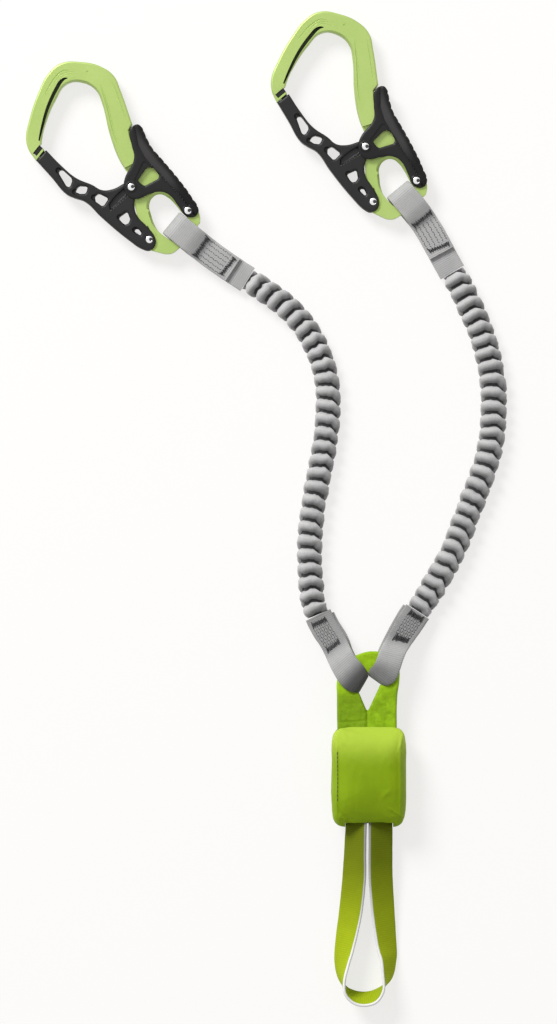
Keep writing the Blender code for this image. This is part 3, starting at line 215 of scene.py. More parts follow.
# Grooves forged into both faces of the frame
DEEP_GROOVE_SHARES = [
    (-59.1, 79.0), (-54.1, 84.9), (-46.9, 92.5), (-40.3, 98.1), (-32.6, 103.4), (-28.8, 104.7),
    (-26.4, 104.2),
]
DEEP_GROOVE_WIDTHS_MM = [0.9, 1.5, 1.9, 2.2, 2.3, 1.6, 0.5]
DEEP_GROOVE_DEPTH = 2.5 * MM
FINE_GROOVE_SHARES = [
    [(-43.2, 101.7), (-36.5, 106.1), (-31.0, 108.6), (-27.1, 109.3), (-23.2, 107.9)],
    [(-37.0, 104.0), (-30.4, 107.4), (-27.5, 107.6), (-23.1, 106.5), (-18.1, 103.9)],
    [(-34.3, 104.0), (-28.2, 106.2), (-25.2, 106.0), (-19.1, 102.8)],
]
FINE_GROOVE_RADIUS = 0.45 * MM
FINE_GROOVE_DEPTHS_MM = [0.4, 0.2, 0.16]
SPINE_GROOVE_SHARES = [
    (-10.6, 92), (-11.6, 86.9), (-12.9, 79.4), (-14.5, 73.0), (-17.1, 63.0), (-18.6, 54.2),
]
SPINE_GROOVE_RADIUS = 0.8 * MM
SPINE_GROOVE_DEPTH = 0.5 * MM
OUTER_GROOVE_SHARES = [(-4.2, 93), (-3.8, 88), (-4.6, 80), (-6.4, 69), (-7.6, 62.5)]
OUTER_GROOVE_RADIUS = 0.7 * MM
OUTER_GROOVE_DEPTH = 0.3 * MM
DIMPLE_SHARE = (-14.2, 102)
DIMPLE_RADIUS = 0.6 * MM
DIMPLE_DEPTH = 0.4 * MM

# Ridge and crease of the lever's palm rest, across at each height
PALM_CREASE_SHARES = [
    (61, -4.8), (57.9, -5.3), (48.5, -8.1), (40.4, -8.1), (33.5, -6.4), (27.7, -4.6), (19.1, -2.7),
    (10.3, -0.3), (2.9, 1.2), (-6, 2.4),
]
PALM_SHOULDER_SHARES = [
    (61, -2.6), (51, -2.9), (44.1, -2.2), (34.2, -0.8), (26, 1.4), (19.6, 2.4), (12.3, 2.9),
    (6.1, 3.4), (-6, 4.2),
]
PALM_EDGE_SHARES = [(61, -1.2), (51, -1.2), (44, -1.2), (35.5, 0.7), (18.5, 4.3), (5, 6.2), (-6, 6.4)]

# Heights of the lever and the gate above the middle plane, and what is cut into them
LEVER_BACK_MM = 5.55
LEVER_CREASE_MM = 5.0
LEVER_RISE_MM = 1.15
LEVER_TOP_MM = 6.15
LEVER_FALL_MM = 1.5
LEVER_LEDGE_MM = 4.9
LEVER_BOSS_RADII_MM = (2.9, 3.5)
CREASE_DEPTH_MM = 0.3
CREASE_OFFSET_MM = 0.3
CREASE_WIDTH_MM = 0.7
SERRATION_DEPTH_MM = 0.42
SERRATION_PITCH_MM = 4.6
POCKET_DEPTH_MM = 1.4
POCKET_SLOPE_MM = 0.9
SCOOP_RADIUS_MM = 1.7
SCOOP_TOP_MM = 4.2
SCOOP_DEPTH_MM = 1.45
PLATE_VOXEL = 0.4 * MM
ARCH_VOXEL = 0.6 * MM

# Keylock nose: radii and angles about the gate's rivet
NOSE_CUT_RADIUS_SHARE = 70
NOSE_END_RADIUS_SHARE = 82.9
NOSE_LIP_RADIUS_SHARE = 84.1
TONGUE_HEAD_START_SHARE = 84.4
TONGUE_HEAD_END_SHARE = 86.6
NOSE_SLOT_END_SHARE = 86.9
TONGUE_ROOT_SHARE = 80.5
TONGUE_OUTER_DEG = 115.3
TONGUE_INNER_DEG = 111.4
NOSE_CUT_DEG = 122.0
NOSE_OUTER_DEG = 115.6
NOSE_INNER_DEG = 105.0
NECK_WIDTH = 2.8 * MM
TONGUE_DROP = 0.7 * MM
NECK_OUTER_DEG = 114.6
NECK_INNER_DEG = 112.0
NECK_CUT_DEG = 115.0

# The middle of each webbing bar, and the carabiner's lean in degrees
CARABINER_PLACES = {
    "left": (-112.1 * MM, 326.4 * MM, 28.0),
    "right": (22.4 * MM, 345.2 * MM, 17.0),
}

# Arms: the middle lines of the sleeves, in millimetres
SLEEVE_ROUTES_MM = {
    "left": [
        (-31.6, 97.5), (-34.6, 105), (-36, 120), (-36.6, 135), (-35.8, 150), (-33.6, 167),
        (-30.4, 184), (-27.4, 200), (-25.7, 216), (-25.6, 232), (-28.4, 247), (-34, 261),
        (-42, 273.5), (-52.5, 284), (-63.5, 292), (-73.5, 298.4),
    ],
    "right": [
        (28.4, 99.5), (33.6, 107.5), (42.5, 122.5), (50, 136.5), (57, 155), (63, 170.5),
        (68.6, 186), (72.5, 202), (73.8, 218), (73.7, 234), (71, 251), (66.6, 266),
        (60.4, 281), (53.2, 296), (49.4, 302.6),
    ],
}
SLEEVE_RIBS = 27
RIB_PEAK = 0.6
SLEEVE_SEEDS = {"left": 11.0, "right": 37.0}
SLEEVE_HALF_WIDTH = {"left": 7.6 * MM, "right": 7.95 * MM}
SLEEVE_FLATTENING = 0.74
SLEEVE_HEIGHT = 7.9 * MM * SLEEVE_FLATTENING + FIT_GAP

# Eyes
UPPER_STITCH_START = 29.0 * MM
UPPER_TAIL = 47.0 * MM
LOWER_STITCH_START = 30.5 * MM
LOWER_TAIL = 48.0 * MM
LOWER_EYE_LEVEL = 13.6 * MM
STRAP_SEEDS = {"left": 3.7, "right": 9.1}
# Bartacks: distance, reach and slant in millimetres, then both ends as shares across, and what is
# added to the seed; for the lower eyes the ends are in LOWER_STITCH_SHARES
UPPER_TACKS = [(23.2, 1.15, 0.5, -0.86, 0.84, 0), (43.2, 0.9, -0.9, -0.8, 0.78, 2)]
UPPER_SEAM = (26.0 * MM, 41.5 * MM)
UPPER_SEAM_SHARES = (-0.8, -0.5, -0.17, 0.17, 0.5, 0.8)
LOWER_TACKS = [(29.8, 1.3, 0.4, 3), (46.3, 1.15, 0.4, 4)]
LOWER_SEAM = (31.3 * MM, 45.2 * MM)
LOWER_SEAM_ROWS = 8
LOWER_STITCH_SHARES = {"left": (-0.72, 0.42), "right": (-0.5, 0.62)}
BARTACK_THREAD = 0.48 * MM
BARTACK_DRIFT = 0.5 * MM
SEAM_THREAD = 0.25 * MM
SEAM_PITCH = 1.7 * MM
SEAM_DIP = 0.1 * MM
SEAM_RISE = 0.14 * MM
STRAP_RIPPLE = 0.12 * MM
STATION_STEP = 1.1 * MM
BACK_SLIDE_SPAN = (8 * MM, 30 * MM)
BACK_SLIDE = {"left": 1.3 * MM, "right": -1.3 * MM}
FOLD_SHADE = {"left": 0.9, "right": 0.6}
FOLD_SHADE_SPAN = (5 * MM, 17 * MM)
SLEEVE_SHADE = 0.35
SLEEVE_SHADE_SPAN = (22 * MM, 30 * MM)
# Both selvedges of a lower eye from its fold on: x and y of the left one, then of the right one
LOWER_EYE_SHARES = {
    "left": [
        (-6.5, 31.3, -1.6, 41.2), (-12.6, 32.3, -2.4, 44.4), (-17.4, 35.6, -5.3, 48.6),
        (-21.2, 41.0, -8.8, 52.6), (-24.8, 48.0, -11.9, 57.9), (-29.0, 57.1, -15.4, 65.7),
    ],
    "right": [
        (-1.6, 41.4, 5.9, 36.9), (-0.7, 45.4, 10.6, 35.9), (1.6, 47.8, 15.0, 39.0),
        (3.2, 51.0, 17.6, 45.4), (4.8, 55.6, 19.8, 51.8), (8.0, 61.6, 22.8, 57.8),
    ],
}

# Arch
ARCH_THICKNESS = 5.0 * MM
ARCH_HEIGHT = 12.0 * MM
ARCH_ROUND = 1.5 * MM
ARCH_CORE = 1.0 * MM
ARCH_FOOT_Y = 19.5 * MM
ARCH_OUTLINE_SHARES = [
    (-19.8, 0, CORNER), (15.8, 0, CORNER), (16.0, 30), (17.2, 38.5), (16.8, 46.5), (12.6, 52.6),
    (4.0, 56), (-8.0, 54), (-15.6, 48.6), (-19.8, 40.5), (-20.2, 28),
]
ARCH_HOLE_SHARES = [
    (-2, 19.6, CORNER), (5.8, 36.2, CORNER), (9.8, 37.4), (12.5, 39.6), (12.1, 43.0), (8.2, 44.6),
    (3.0, 43.2), (-1.0, 42.4), (-5.0, 43.4), (-9.4, 44.2), (-13.2, 41.9), (-14.2, 38.2),
    (-12.4, 34.6), (-7.0, 31.4, CORNER),
]

# Pouch
POUCH_HALF_WIDTH = 22.25 * MM
POUCH_HALF_LENGTH = 30.0 * MM
POUCH_HALF_DEPTH = 13.8 * MM
POUCH_CENTRE = (-1.25 * MM, 0.5 * MM, 13.2 * MM)
POUCH_WALL = 1.4 * MM
POUCH_FLAT_CUT = 0.6 * MM
TOP_MOUTH_HEIGHT = ARCH_THICKNESS + 2 * SLIDE_GAP
BOTTOM_MOUTH_LOW = 5.6 * MM
BOTTOM_MOUTH_HIGH = 19.2 * MM
BOTTOM_MOUTH_LEFT = -15.3 * MM
BOTTOM_MOUTH_RIGHT = 13.5 * MM
MOUTH_SIDE_GAP = 0.5 * MM
POUCH_SEAM_DEPTH = 0.9 * MM
POUCH_SEAM_X_MM = -19.9
POUCH_SEAM_LEAN = 0.012
POUCH_THREAD = 0.3 * MM
# Start and end of each crease, in millimetres
POUCH_CREASE_SHARES = [
    (-22, 27, -13, 17), (-19, 29.5, -4, 25), (19.5, 28, 15.5, 14), (20, -24, 10, -17), (-21, -20, -14, -27),
    (-20.5, -14, -15.5, -22), (-12, -1, -3, 4), (6, -12, 12, -6),
]

# Tie-in loop: across, along from the pouch's mouth, roll in degrees, height as a share of width
LOOP_MOUTH_Y = -30.0 * MM
LOOP_SHADE = 0.62
LOOP_SHADE_SPAN = (LOOP_MOUTH_Y - 75 * MM, LOOP_MOUTH_Y - 5 * MM)
LOOP_STATION_SHARES = [
    (-8.7, 3.5, 42, 0.76), (-8.8, -2, 42, 0.76), (-9.3, -15, 39, 0.71), (-9.8, -30, 33, 0.61),
    (-11.8, -50, 34, 0.48), (-15.2, -70, 46, 0.45), (-17.0, -82, 61, 0.50), (-17.0, -91, 78, 0.545),
    (-14.7, -98, 98, 0.55), (-10.2, -101.8, 110, 0.53), (-4.0, -103.2, 114, 0.52),
    (2.4, -101.7, 110, 0.53), (7.2, -97, 94, 0.55), (9.9, -90, 69, 0.54), (10.6, -80, 55, 0.49),
    (9.4, -70, 42, 0.43), (7.4, -50, 32, 0.48), (6.0, -30, 29, 0.62), (5.9, -15, 29, 0.73),
    (5.9, -2, 29, 0.78), (5.9, 3.5, 29, 0.78),
]


# Camera

def pixel_place(px, py):
    return ((px - ORIGIN_PIXEL[0]) * PIXEL, (ORIGIN_PIXEL[1] - py) * PIXEL)


def add_camera():
    """A camera straight above that frames the ground as the photograph does."""
    data = bpy.data.cameras.new("camera")
    x, y = pixel_place(IMAGE_WIDTH / 2, IMAGE_HEIGHT / 2)
    data.sensor_fit = "VERTICAL"
    data.sensor_height = SENSOR_HEIGHT_MM
    data.lens = SENSOR_HEIGHT_MM * (CAMERA_HEIGHT - FOCUS_HEIGHT) / (IMAGE_HEIGHT * PIXEL)
    camera = new_object("camera", data)
    camera.location = (x, y, CAMERA_HEIGHT)
    bpy.context.scene.camera = camera
    return Vector((x, y, 0))


# Objects and meshes

def new_object(name, data):
    thing = bpy.data.objects.new(name, data)
    bpy.context.scene.collection.objects.link(thing)
    return thing


def new_mesh(name, shape):
    mesh = bpy.data.meshes.new(name)
    shape.to_mesh(mesh)
    shape.free()
    return mesh


def temporary(mesh_or_curve):
    return new_object("temporary", mesh_or_curve)


def evaluated_mesh(thing, name):
    """The object's mesh with its modifiers, and the object removed."""
    bpy.context.view_layer.update()
    depsgraph = bpy.context.evaluated_depsgraph_get()
    mesh = bpy.data.meshes.new_from_object(thing.evaluated_get(depsgraph), depsgraph=depsgraph)
    mesh.transform(thing.matrix_world)
    mesh.name = name
    bpy.data.objects.remove(thing, do_unlink=True)
    return mesh


def welded(mesh):
    """The mesh with its double points joined and its faces turned outwards."""
    shape = bmesh.new()
    shape.from_mesh(mesh)
    bmesh.ops.remove_doubles(shape, verts=shape.verts, dist=FIT_GAP / 100)
    bmesh.ops.recalc_face_normals(shape, faces=shape.faces)
    shape.to_mesh(mesh)
    shape.free()
    return mesh


def outline_mesh(name, outlines, thickness, edge_round=0.0, bevel_steps=3, steps=6, middle=0.0):
    """A flat plate of the given outlines, the first outer and the rest holes."""
    data = bpy.data.curves.new(name, "CURVE")
    data.dimensions = "2D"
    data.fill_mode = "BOTH"
    data.extrude = thickness / 2 - edge_round
    data.bevel_depth = edge_round
    data.bevel_resolution = bevel_steps
    data.offset = -edge_round
    data.resolution_u = steps
    for outline in outlines:
        spline = data.splines.new("BEZIER")
        spline.bezier_points.add(len(outline) - 1)
        spline.use_cyclic_u = True
        for knot, place in zip(spline.bezier_points, outline):
            knot.co = (place[0], place[1], 0)
            handle = "VECTOR" if len(place) > 2 else "AUTO"
            knot.handle_left_type = handle
            knot.handle_right_type = handle
    thing = temporary(data)
    thing.location = (0, 0, middle)
    return welded(evaluated_mesh(thing, name))


def tube_mesh(name, points, radius, shares):
    """A round tube along a line, with its radius times a share at each point."""
    data = bpy.data.curves.new(name, "CURVE")
    data.dimensions = "3D"
    data.bevel_depth = radius
    data.bevel_resolution = 3
    data.use_fill_caps = True
    spline = data.splines.new("POLY")
    spline.points.add(len(points) - 1)
    for knot, place, share in zip(spline.points, points, shares):
        knot.co = (*place, 1)
        knot.radius = share
    return welded(evaluated_mesh(temporary(data), name))


def disc_mesh(name, centre, radius, low, high, sides=40):
    shape = bmesh.new()
    place = Matrix.Translation((centre[0], centre[1], (low + high) / 2))
    bmesh.ops.create_cone(
        shape, cap_ends=True, segments=sides, radius1=radius, radius2=radius,
        depth=high - low, matrix=place,
    )
    return new_mesh(name, shape)


def box_mesh(name, low, high):
    shape = bmesh.new()
    bmesh.ops.create_cube(shape, size=1)
    size = [b - a for a, b in zip(low, high)]
    middle = [(a + b) / 2 for a, b in zip(low, high)]
    bmesh.ops.transform(shape, matrix=Matrix.Diagonal((*size, 1)), verts=shape.verts)
    bmesh.ops.translate(shape, vec=middle, verts=shape.verts)
    return new_mesh(name, shape)


def carved(name, mesh, cutters):
    """The mesh less all the cutters, taken away one after another."""
    thing = temporary(mesh)
    helpers = [temporary(cutter) for cutter in cutters]
    for helper in helpers:
        step = thing.modifiers.new("cut", "BOOLEAN")
        step.operation = "DIFFERENCE"
        step.solver = "EXACT"
        step.object = helper
    result = evaluated_mesh(thing, name)
    for helper in helpers:
        bpy.data.objects.remove(helper, do_unlink=True)
    return result


def remeshed(name, mesh, voxel):
    """The mesh in even small faces, softened a little."""
    thing = temporary(mesh)
    step = thing.modifiers.new("remesh", "REMESH")
    step.mode = "VOXEL"
    step.voxel_size = voxel
    soften = thing.modifiers.new("soften", "SMOOTH")
    soften.factor = 0.5
    soften.iterations = 2
    return evaluated_mesh(thing, name)


def joined(name, meshes):
    shape = bmesh.new()
    for mesh in meshes:
        shape.from_mesh(mesh)
    return new_mesh(name, shape)


def grid_mesh(name, rings, uvs=None, values=None):
    """A quad mesh through rings of points, closed at both ends.

    uvs gives the place on the weave for a row and a column, and values are named, one per point.
    """
    count = len(rings[0])
    points = [point for ring in rings for point in ring]
    faces = []
    corners = []
    for row in range(len(rings) - 1):
        here, after = row * count, (row + 1) * count
        for index in range(count):
            following = (index + 1) % count
            faces.append((here + index, here + following, after + following, after + index))
            corners.append(((row, index), (row, index + 1), (row + 1, index + 1), (row + 1, index)))
    faces += [tuple(range(count))[::-1], tuple(range(len(points) - count, len(points)))]
    corners += [((0, 0),) * count] * 2
    mesh = bpy.data.meshes.new(name)
    mesh.from_pydata(points, [], faces)
    if uvs:
        layer = mesh.uv_layers.new(name="weave")
        for polygon, places in zip(mesh.polygons, corners):
            for loop, place in zip(polygon.loop_indices, places):
                layer.data[loop].uv = uvs(*place)
    for label, numbers in (values or {}).items():
        add_values(mesh, label, numbers)
    return mesh


def add_values(mesh, label, numbers):
    """A named value per point, which the materials read."""
    layer = mesh.attributes.new(label, "FLOAT", "POINT")
    layer.data.foreach_set("value", numbers)


def add_piece(name, mesh, material, body, replaced=(), sharp_deg=40, weighted=False, second=None):
    """Adds a mesh as a piece of the part. With a second material its faces keep their indices."""
    indices = [polygon.material_index for polygon in mesh.polygons]
    mesh.materials.clear()
    mesh.materials.append(material)
    if second:
        mesh.materials.append(second)
        mesh.polygons.foreach_set("material_index", indices)
    mesh.shade_smooth()
    mesh.set_sharp_from_angle(angle=math.radians(sharp_deg))
    thing = new_object(name, mesh)
    if weighted:
        step = thing.modifiers.new("normals", "WEIGHTED_NORMAL")
        step.keep_sharp = True
        step.weight = 80
    if body:
        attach(thing, body)
    if replaced:
        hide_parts(*replaced)
    return thing


# Curves and outlines

def smooth_curve(route, per_span=16):
    """A Catmull-Rom curve through the route's points, of any dimension."""
    knots = [Vector(point) for point in route]
    ends = [2 * knots[0] - knots[1]] + knots + [2 * knots[-1] - knots[-2]]
    fine = []
    for a, b, c, d in zip(ends, ends[1:], ends[2:], ends[3:]):
        for step in range(per_span):
            t = step / per_span
            fine.append(
                0.5 * (2 * b + (c - a) * t + (2 * a - 5 * b + 4 * c - d) * t * t
                       + (3 * b - a - 3 * c + d) * t ** 3)
            )
    fine.append(knots[-1])
    return fine


def even_points(line, count):
    """Points at even distances along a line, and the line's length."""
    along = [0.0]
    for a, b in zip(line, line[1:]):
        along.append(along[-1] + (b - a).length)
    points = []
    span = 0
    for number in range(count):
        wanted = along[-1] * number / (count - 1)
        while span < len(line) - 2 and along[span + 1] < wanted:
            span += 1
        share = (wanted - along[span]) / (along[span + 1] - along[span])
        points.append(line[span].lerp(line[span + 1], min(max(share, 0.0), 1.0)))
    return points, along[-1]


def scaled(outline):
    """An outline of shares, in metres."""
    return [(x * PART, y * PART, *rest) for x, y, *rest in outline]


def place_of(share):
    return Vector((share[0] * PART, share[1] * PART))


def turned(point, centre, degrees):
    """A point turned about a centre in plan."""
    c, s = math.cos(math.radians(degrees)), math.sin(math.radians(degrees))
    x, y = point[0] - centre[0], point[1] - centre[1]
    return Vector((centre[0] + c * x - s * y, centre[1] + s * x + c * y))


def way_along(points, number):
    """The way that a line of points takes at one of them."""
    return (points[min(number + 1, len(points) - 1)] - points[max(number - 1, 0)]).normalized()


def corners_kept(outline):
    """The outline with every point a sharp corner."""
    return [(place[0], place[1], CORNER) for place in outline]


def sector(centre, inner, outer, start_deg, end_deg, steps=8):
    """Outline of a piece of a ring round a centre."""
    def arc(radius, angles):
        return [
            (centre[0] + radius * math.cos(math.radians(a)),
             centre[1] + radius * math.sin(math.radians(a)), CORNER)
            for a in angles
        ]
    angles = [start_deg + (end_deg - start_deg) * n / steps for n in range(steps + 1)]
    return arc(inner, angles) + arc(outer, reversed(angles))


def capsule(path, radius):
    """Outline of a slot of even width along a path, with round ends."""
    steps = 8
    outline = []
    for points in (path, path[::-1]):
        for here, after in zip(points, points[1:]):
            ahead = (after - here).normalized()
            outline.append(here + radius * Vector((-ahead.y, ahead.x)))
        end = points[-1]
        ahead = (end - points[-2]).normalized()
        start = math.atan2(ahead.x, -ahead.y)
        for step in range(steps + 1):
            angle = start - math.pi * step / steps
            outline.append(end + radius * Vector((math.cos(angle), math.sin(angle))))
    return [(point.x, point.y, CORNER) for point in outline]


def ribbon(path, widths):
    """Outline of a flat ribbon along a path, with its own width at each point."""
    edges = ([], [])
    for number, point in enumerate(path):
        ahead = way_along(path, number)
        side = Vector((-ahead.y, ahead.x)) * widths[number] / 2
        edges[0].append(point + side)
        edges[1].append(point - side)
    return [(point.x, point.y, CORNER) for point in edges[0] + edges[1][::-1]]


def smoothstep(low, high, value):
    t = min(max((value - low) / (high - low), 0.0), 1.0)
    return t * t * (3 - 2 * t)


def table_value(table, at):
    """Straight-line reading of a table of (position, value), positions falling."""
    for (a, u), (b, v) in zip(table, table[1:]):
        if at >= b:
            return u + (v - u) * min(max((a - at) / (a - b), 0.0), 1.0)
    return table[-1][1]


# Materials

class Nodes:
    """A material's node tree, with short calls to add and link nodes."""

    def __init__(self, name, roughness, metallic=0.0, **sockets):
        self.material = bpy.data.materials.new(name)
        self.material.use_nodes = True
        self.tree = self.material.node_tree
        self.shader = self.tree.nodes["Principled BSDF"]
        self.shader.inputs["Roughness"].default_value = roughness
        self.shader.inputs["Metallic"].default_value = metallic
        for socket, value in sockets.items():
            self.shader.inputs[socket.replace("_", " ")].default_value = value

    def add(self, kind):
        return self.tree.nodes.new("ShaderNode" + kind)

    def link(self, source, target):
        self.tree.links.new(source, target)

    def put(self, socket, value):
        if hasattr(value, "is_output"):
            self.link(value, socket)
        else:
            socket.default_value = value

    def object_place(self):
        return self.add("TexCoord").outputs["Object"]

    def weave_place(self):
        node = self.add("UVMap")
        node.uv_map = "weave"
        split = self.add("SeparateXYZ")
        self.link(node.outputs["UV"], split.inputs[0])
        return node.outputs["UV"], split.outputs[0], split.outputs[1]

    def attribute(self, name):
        node = self.add("Attribute")
        node.attribute_name = name
        return node.outputs["Fac"]

    def noise(self, place, scale, detail=3.0, roughness=0.55, stretch=None):
        if stretch:
            node = self.add("Mapping")
            node.inputs["Scale"].default_value = stretch
            self.link(place, node.inputs["Vector"])
            place = node.outputs[0]
        node = self.add("TexNoise")
        node.inputs["Scale"].default_value = scale
        node.inputs["Detail"].default_value = detail
        node.inputs["Roughness"].default_value = roughness
        self.link(place, node.inputs["Vector"])
        return node.outputs["Fac"]

    def math(self, operation, a, b=0.0, c=0.0):
        node = self.add("Math")
        node.operation = operation
        for socket, value in zip(node.inputs, (a, b, c)):
            self.put(socket, value)
        return node.outputs[0]

    def span(self, value, from_low, from_high, to_low=0.0, to_high=1.0, smooth=False):
        node = self.add("MapRange")
        node.interpolation_type = "SMOOTHSTEP" if smooth else "LINEAR"
        for socket, number in zip(node.inputs, (value, from_low, from_high, to_low, to_high)):
            self.put(socket, number)
        return node.outputs[0]

    def mix(self, share, a, b):
        node = self.add("Mix")
        node.data_type = "RGBA"
        self.put(node.inputs[0], share)
        for socket, value in ((node.inputs[6], a), (node.inputs[7], b)):
            if isinstance(value, tuple):
                socket.default_value = (*value, 1.0)
            else:
                self.link(value, socket)
        return node.outputs[2]

    def wave(self, along, pitch):
        """A sine of the coordinate with the given pitch, between -1 and 1."""
        return self.math("SINE", self.math("MULTIPLY", along, 2 * math.pi / pitch))

    def cloth_share(self, height, cloud, low, high, part):
        """How light cloth is: a part by its threads' height, and the rest by soft stains."""
        threads = self.span(height, low, high, 0, part)
        return self.math("ADD", threads, self.span(cloud, 0.3, 0.7, 0, 1 - part))

    def colour(self, value):
        self.put(self.shader.inputs["Base Color"], value)

    def rough(self, value):
        self.put(self.shader.inputs["Roughness"], value)

    def bump(self, height, distance):
        node = self.add("Bump")
        node.inputs["Distance"].default_value = distance
        self.link(height, node.inputs["Height"])
        self.link(node.outputs[0], self.shader.inputs["Normal"])


def anodised_material():
    nodes = Nodes("green_anodised", 0.38, 0.45)
    place = nodes.object_place()
    cloud = nodes.noise(place, 40, 2)
    grain = nodes.noise(place, 900, 2)
    base = nodes.mix(nodes.span(cloud, 0.3, 0.7), (0.39, 0.53, 0.145), (0.44, 0.58, 0.17))
    nodes.colour(base)
    nodes.rough(nodes.span(grain, 0.3, 0.7, 0.33, 0.44))
    nodes.bump(grain, 0.03 * MM)
    return nodes.material


def groove_shade_material():
    nodes = Nodes("green_in_shadow", 0.6, 0.2)
    grain = nodes.noise(nodes.object_place(), 900, 2)
    # Painted shade: a near-black green for the deep groove's floor and walls, darker than their light makes
    # them
    nodes.colour(nodes.mix(grain, (0.008, 0.011, 0.004), (0.016, 0.022, 0.007)))
    return nodes.material


def black_material():
    nodes = Nodes("black_satin", 0.42, 0.0, Specular_IOR_Level=0.3)
    place = nodes.object_place()
    grain = nodes.noise(place, 1300, 2)
    cloud = nodes.noise(place, 60, 2)
    tone = nodes.mix(nodes.span(cloud, 0.3, 0.7), (0.0085, 0.008, 0.008), (0.013, 0.0122, 0.012))
    # Painted highlight: the lever's palm facet is mixed towards a paler grey, as if the light caught it
    nodes.colour(nodes.mix(nodes.attribute("palm_highlight"), tone, (0.034, 0.0325, 0.032)))
    shine = nodes.span(nodes.attribute("dull"), 0, 1, 0.3, 0.12)
    nodes.put(nodes.shader.inputs["Specular IOR Level"], shine)
    nodes.rough(nodes.span(grain, 0.3, 0.7, 0.34, 0.5))
    nodes.bump(grain, 0.05 * MM)
    return nodes.material


def dimple_shade_material():
    nodes = Nodes("dimple_shade", 0.6, 0.3)
    grain = nodes.noise(nodes.object_place(), 1500, 2)
    # Painted shade: the floor of each rivet's dimple is coloured dark grey
    nodes.colour(nodes.mix(grain, (0.02, 0.02, 0.02), (0.07, 0.07, 0.07)))
    return nodes.material


def steel_material():
    nodes = Nodes("bright_steel", 0.24, 1.0)
    place = nodes.object_place()
    scratch = nodes.noise(place, 500, 3, stretch=(1, 6, 1))
    nodes.colour(nodes.mix(scratch, (0.72, 0.72, 0.73), (0.84, 0.84, 0.84)))
    nodes.rough(nodes.span(scratch, 0.3, 0.7, 0.18, 0.32))
    return nodes.material


def webbing_material(
        name, dark, light, rib_pitch, row_pitch, sheen=0.25, depth=0.12, selvedge=None, shine=0.5):
    """Woven tape: strong rows across it, fine ribs along it, thread noise and soft stains."""
    nodes = Nodes(name, 0.85, 0.0, Sheen_Weight=sheen, Sheen_Roughness=0.5, Specular_IOR_Level=shine)
    place, across, along = nodes.weave_place()
    ribs = nodes.wave(across, rib_pitch)
    rows = nodes.wave(along, row_pitch)
    weave = nodes.math("MULTIPLY", ribs, rows)
    height = nodes.math("MULTIPLY_ADD", rows, 0.45, nodes.math("MULTIPLY", weave, 0.35))
    thread = nodes.noise(place, 1500, 2, stretch=(1, 0.35, 1))
    cloud = nodes.noise(place, 70, 3)
    height = nodes.math("MULTIPLY_ADD", thread, 0.8, height)
    share = nodes.cloth_share(height, cloud, -1.1, 1.7, 0.75)
    tone = nodes.mix(share, dark, light)
    if selvedge:
        edge, colour = selvedge
        tone = nodes.mix(nodes.span(across, edge, edge + 0.3 * MM), tone, colour)
    nodes.colour(nodes.mix(nodes.attribute("shade"), tone, tuple(0.04 * part for part in dark)))
    nodes.bump(height, depth * MM)
    return nodes.material


def sleeve_material():
    nodes = Nodes("grey_sleeve", 0.85, 0.0, Sheen_Weight=0.3, Sheen_Roughness=0.5)
    place, across, along = nodes.weave_place()
    pleat = nodes.attribute("pleat")
    ribs = nodes.wave(across, 0.9 * MM)
    thread = nodes.noise(place, 1300, 2, stretch=(1, 0.35, 1))
    cloud = nodes.noise(place, 60, 3)
    height = nodes.math("MULTIPLY_ADD", ribs, 0.45, thread)
    share = nodes.cloth_share(height, cloud, -0.3, 1.2, 0.6)
    ridge = nodes.mix(share, (0.39, 0.385, 0.385), (0.6, 0.595, 0.59))
    # Painted shade: the lower flank of each rib, away from the light, is coloured darker
    rib_lee_shade = nodes.span(nodes.attribute("rib_lee_shade"), 0.1, 0.8, 0, 0.75, smooth=True)
    ridge = nodes.mix(rib_lee_shade, ridge, (0.1, 0.098, 0.098))
    # Painted shade: the valleys between the ribs are coloured nearly black
    nodes.colour(nodes.mix(nodes.span(pleat, 0.02, 0.36, smooth=True), (0.016, 0.0155, 0.016), ridge))
    nodes.bump(height, 0.1 * MM)
    return nodes.material


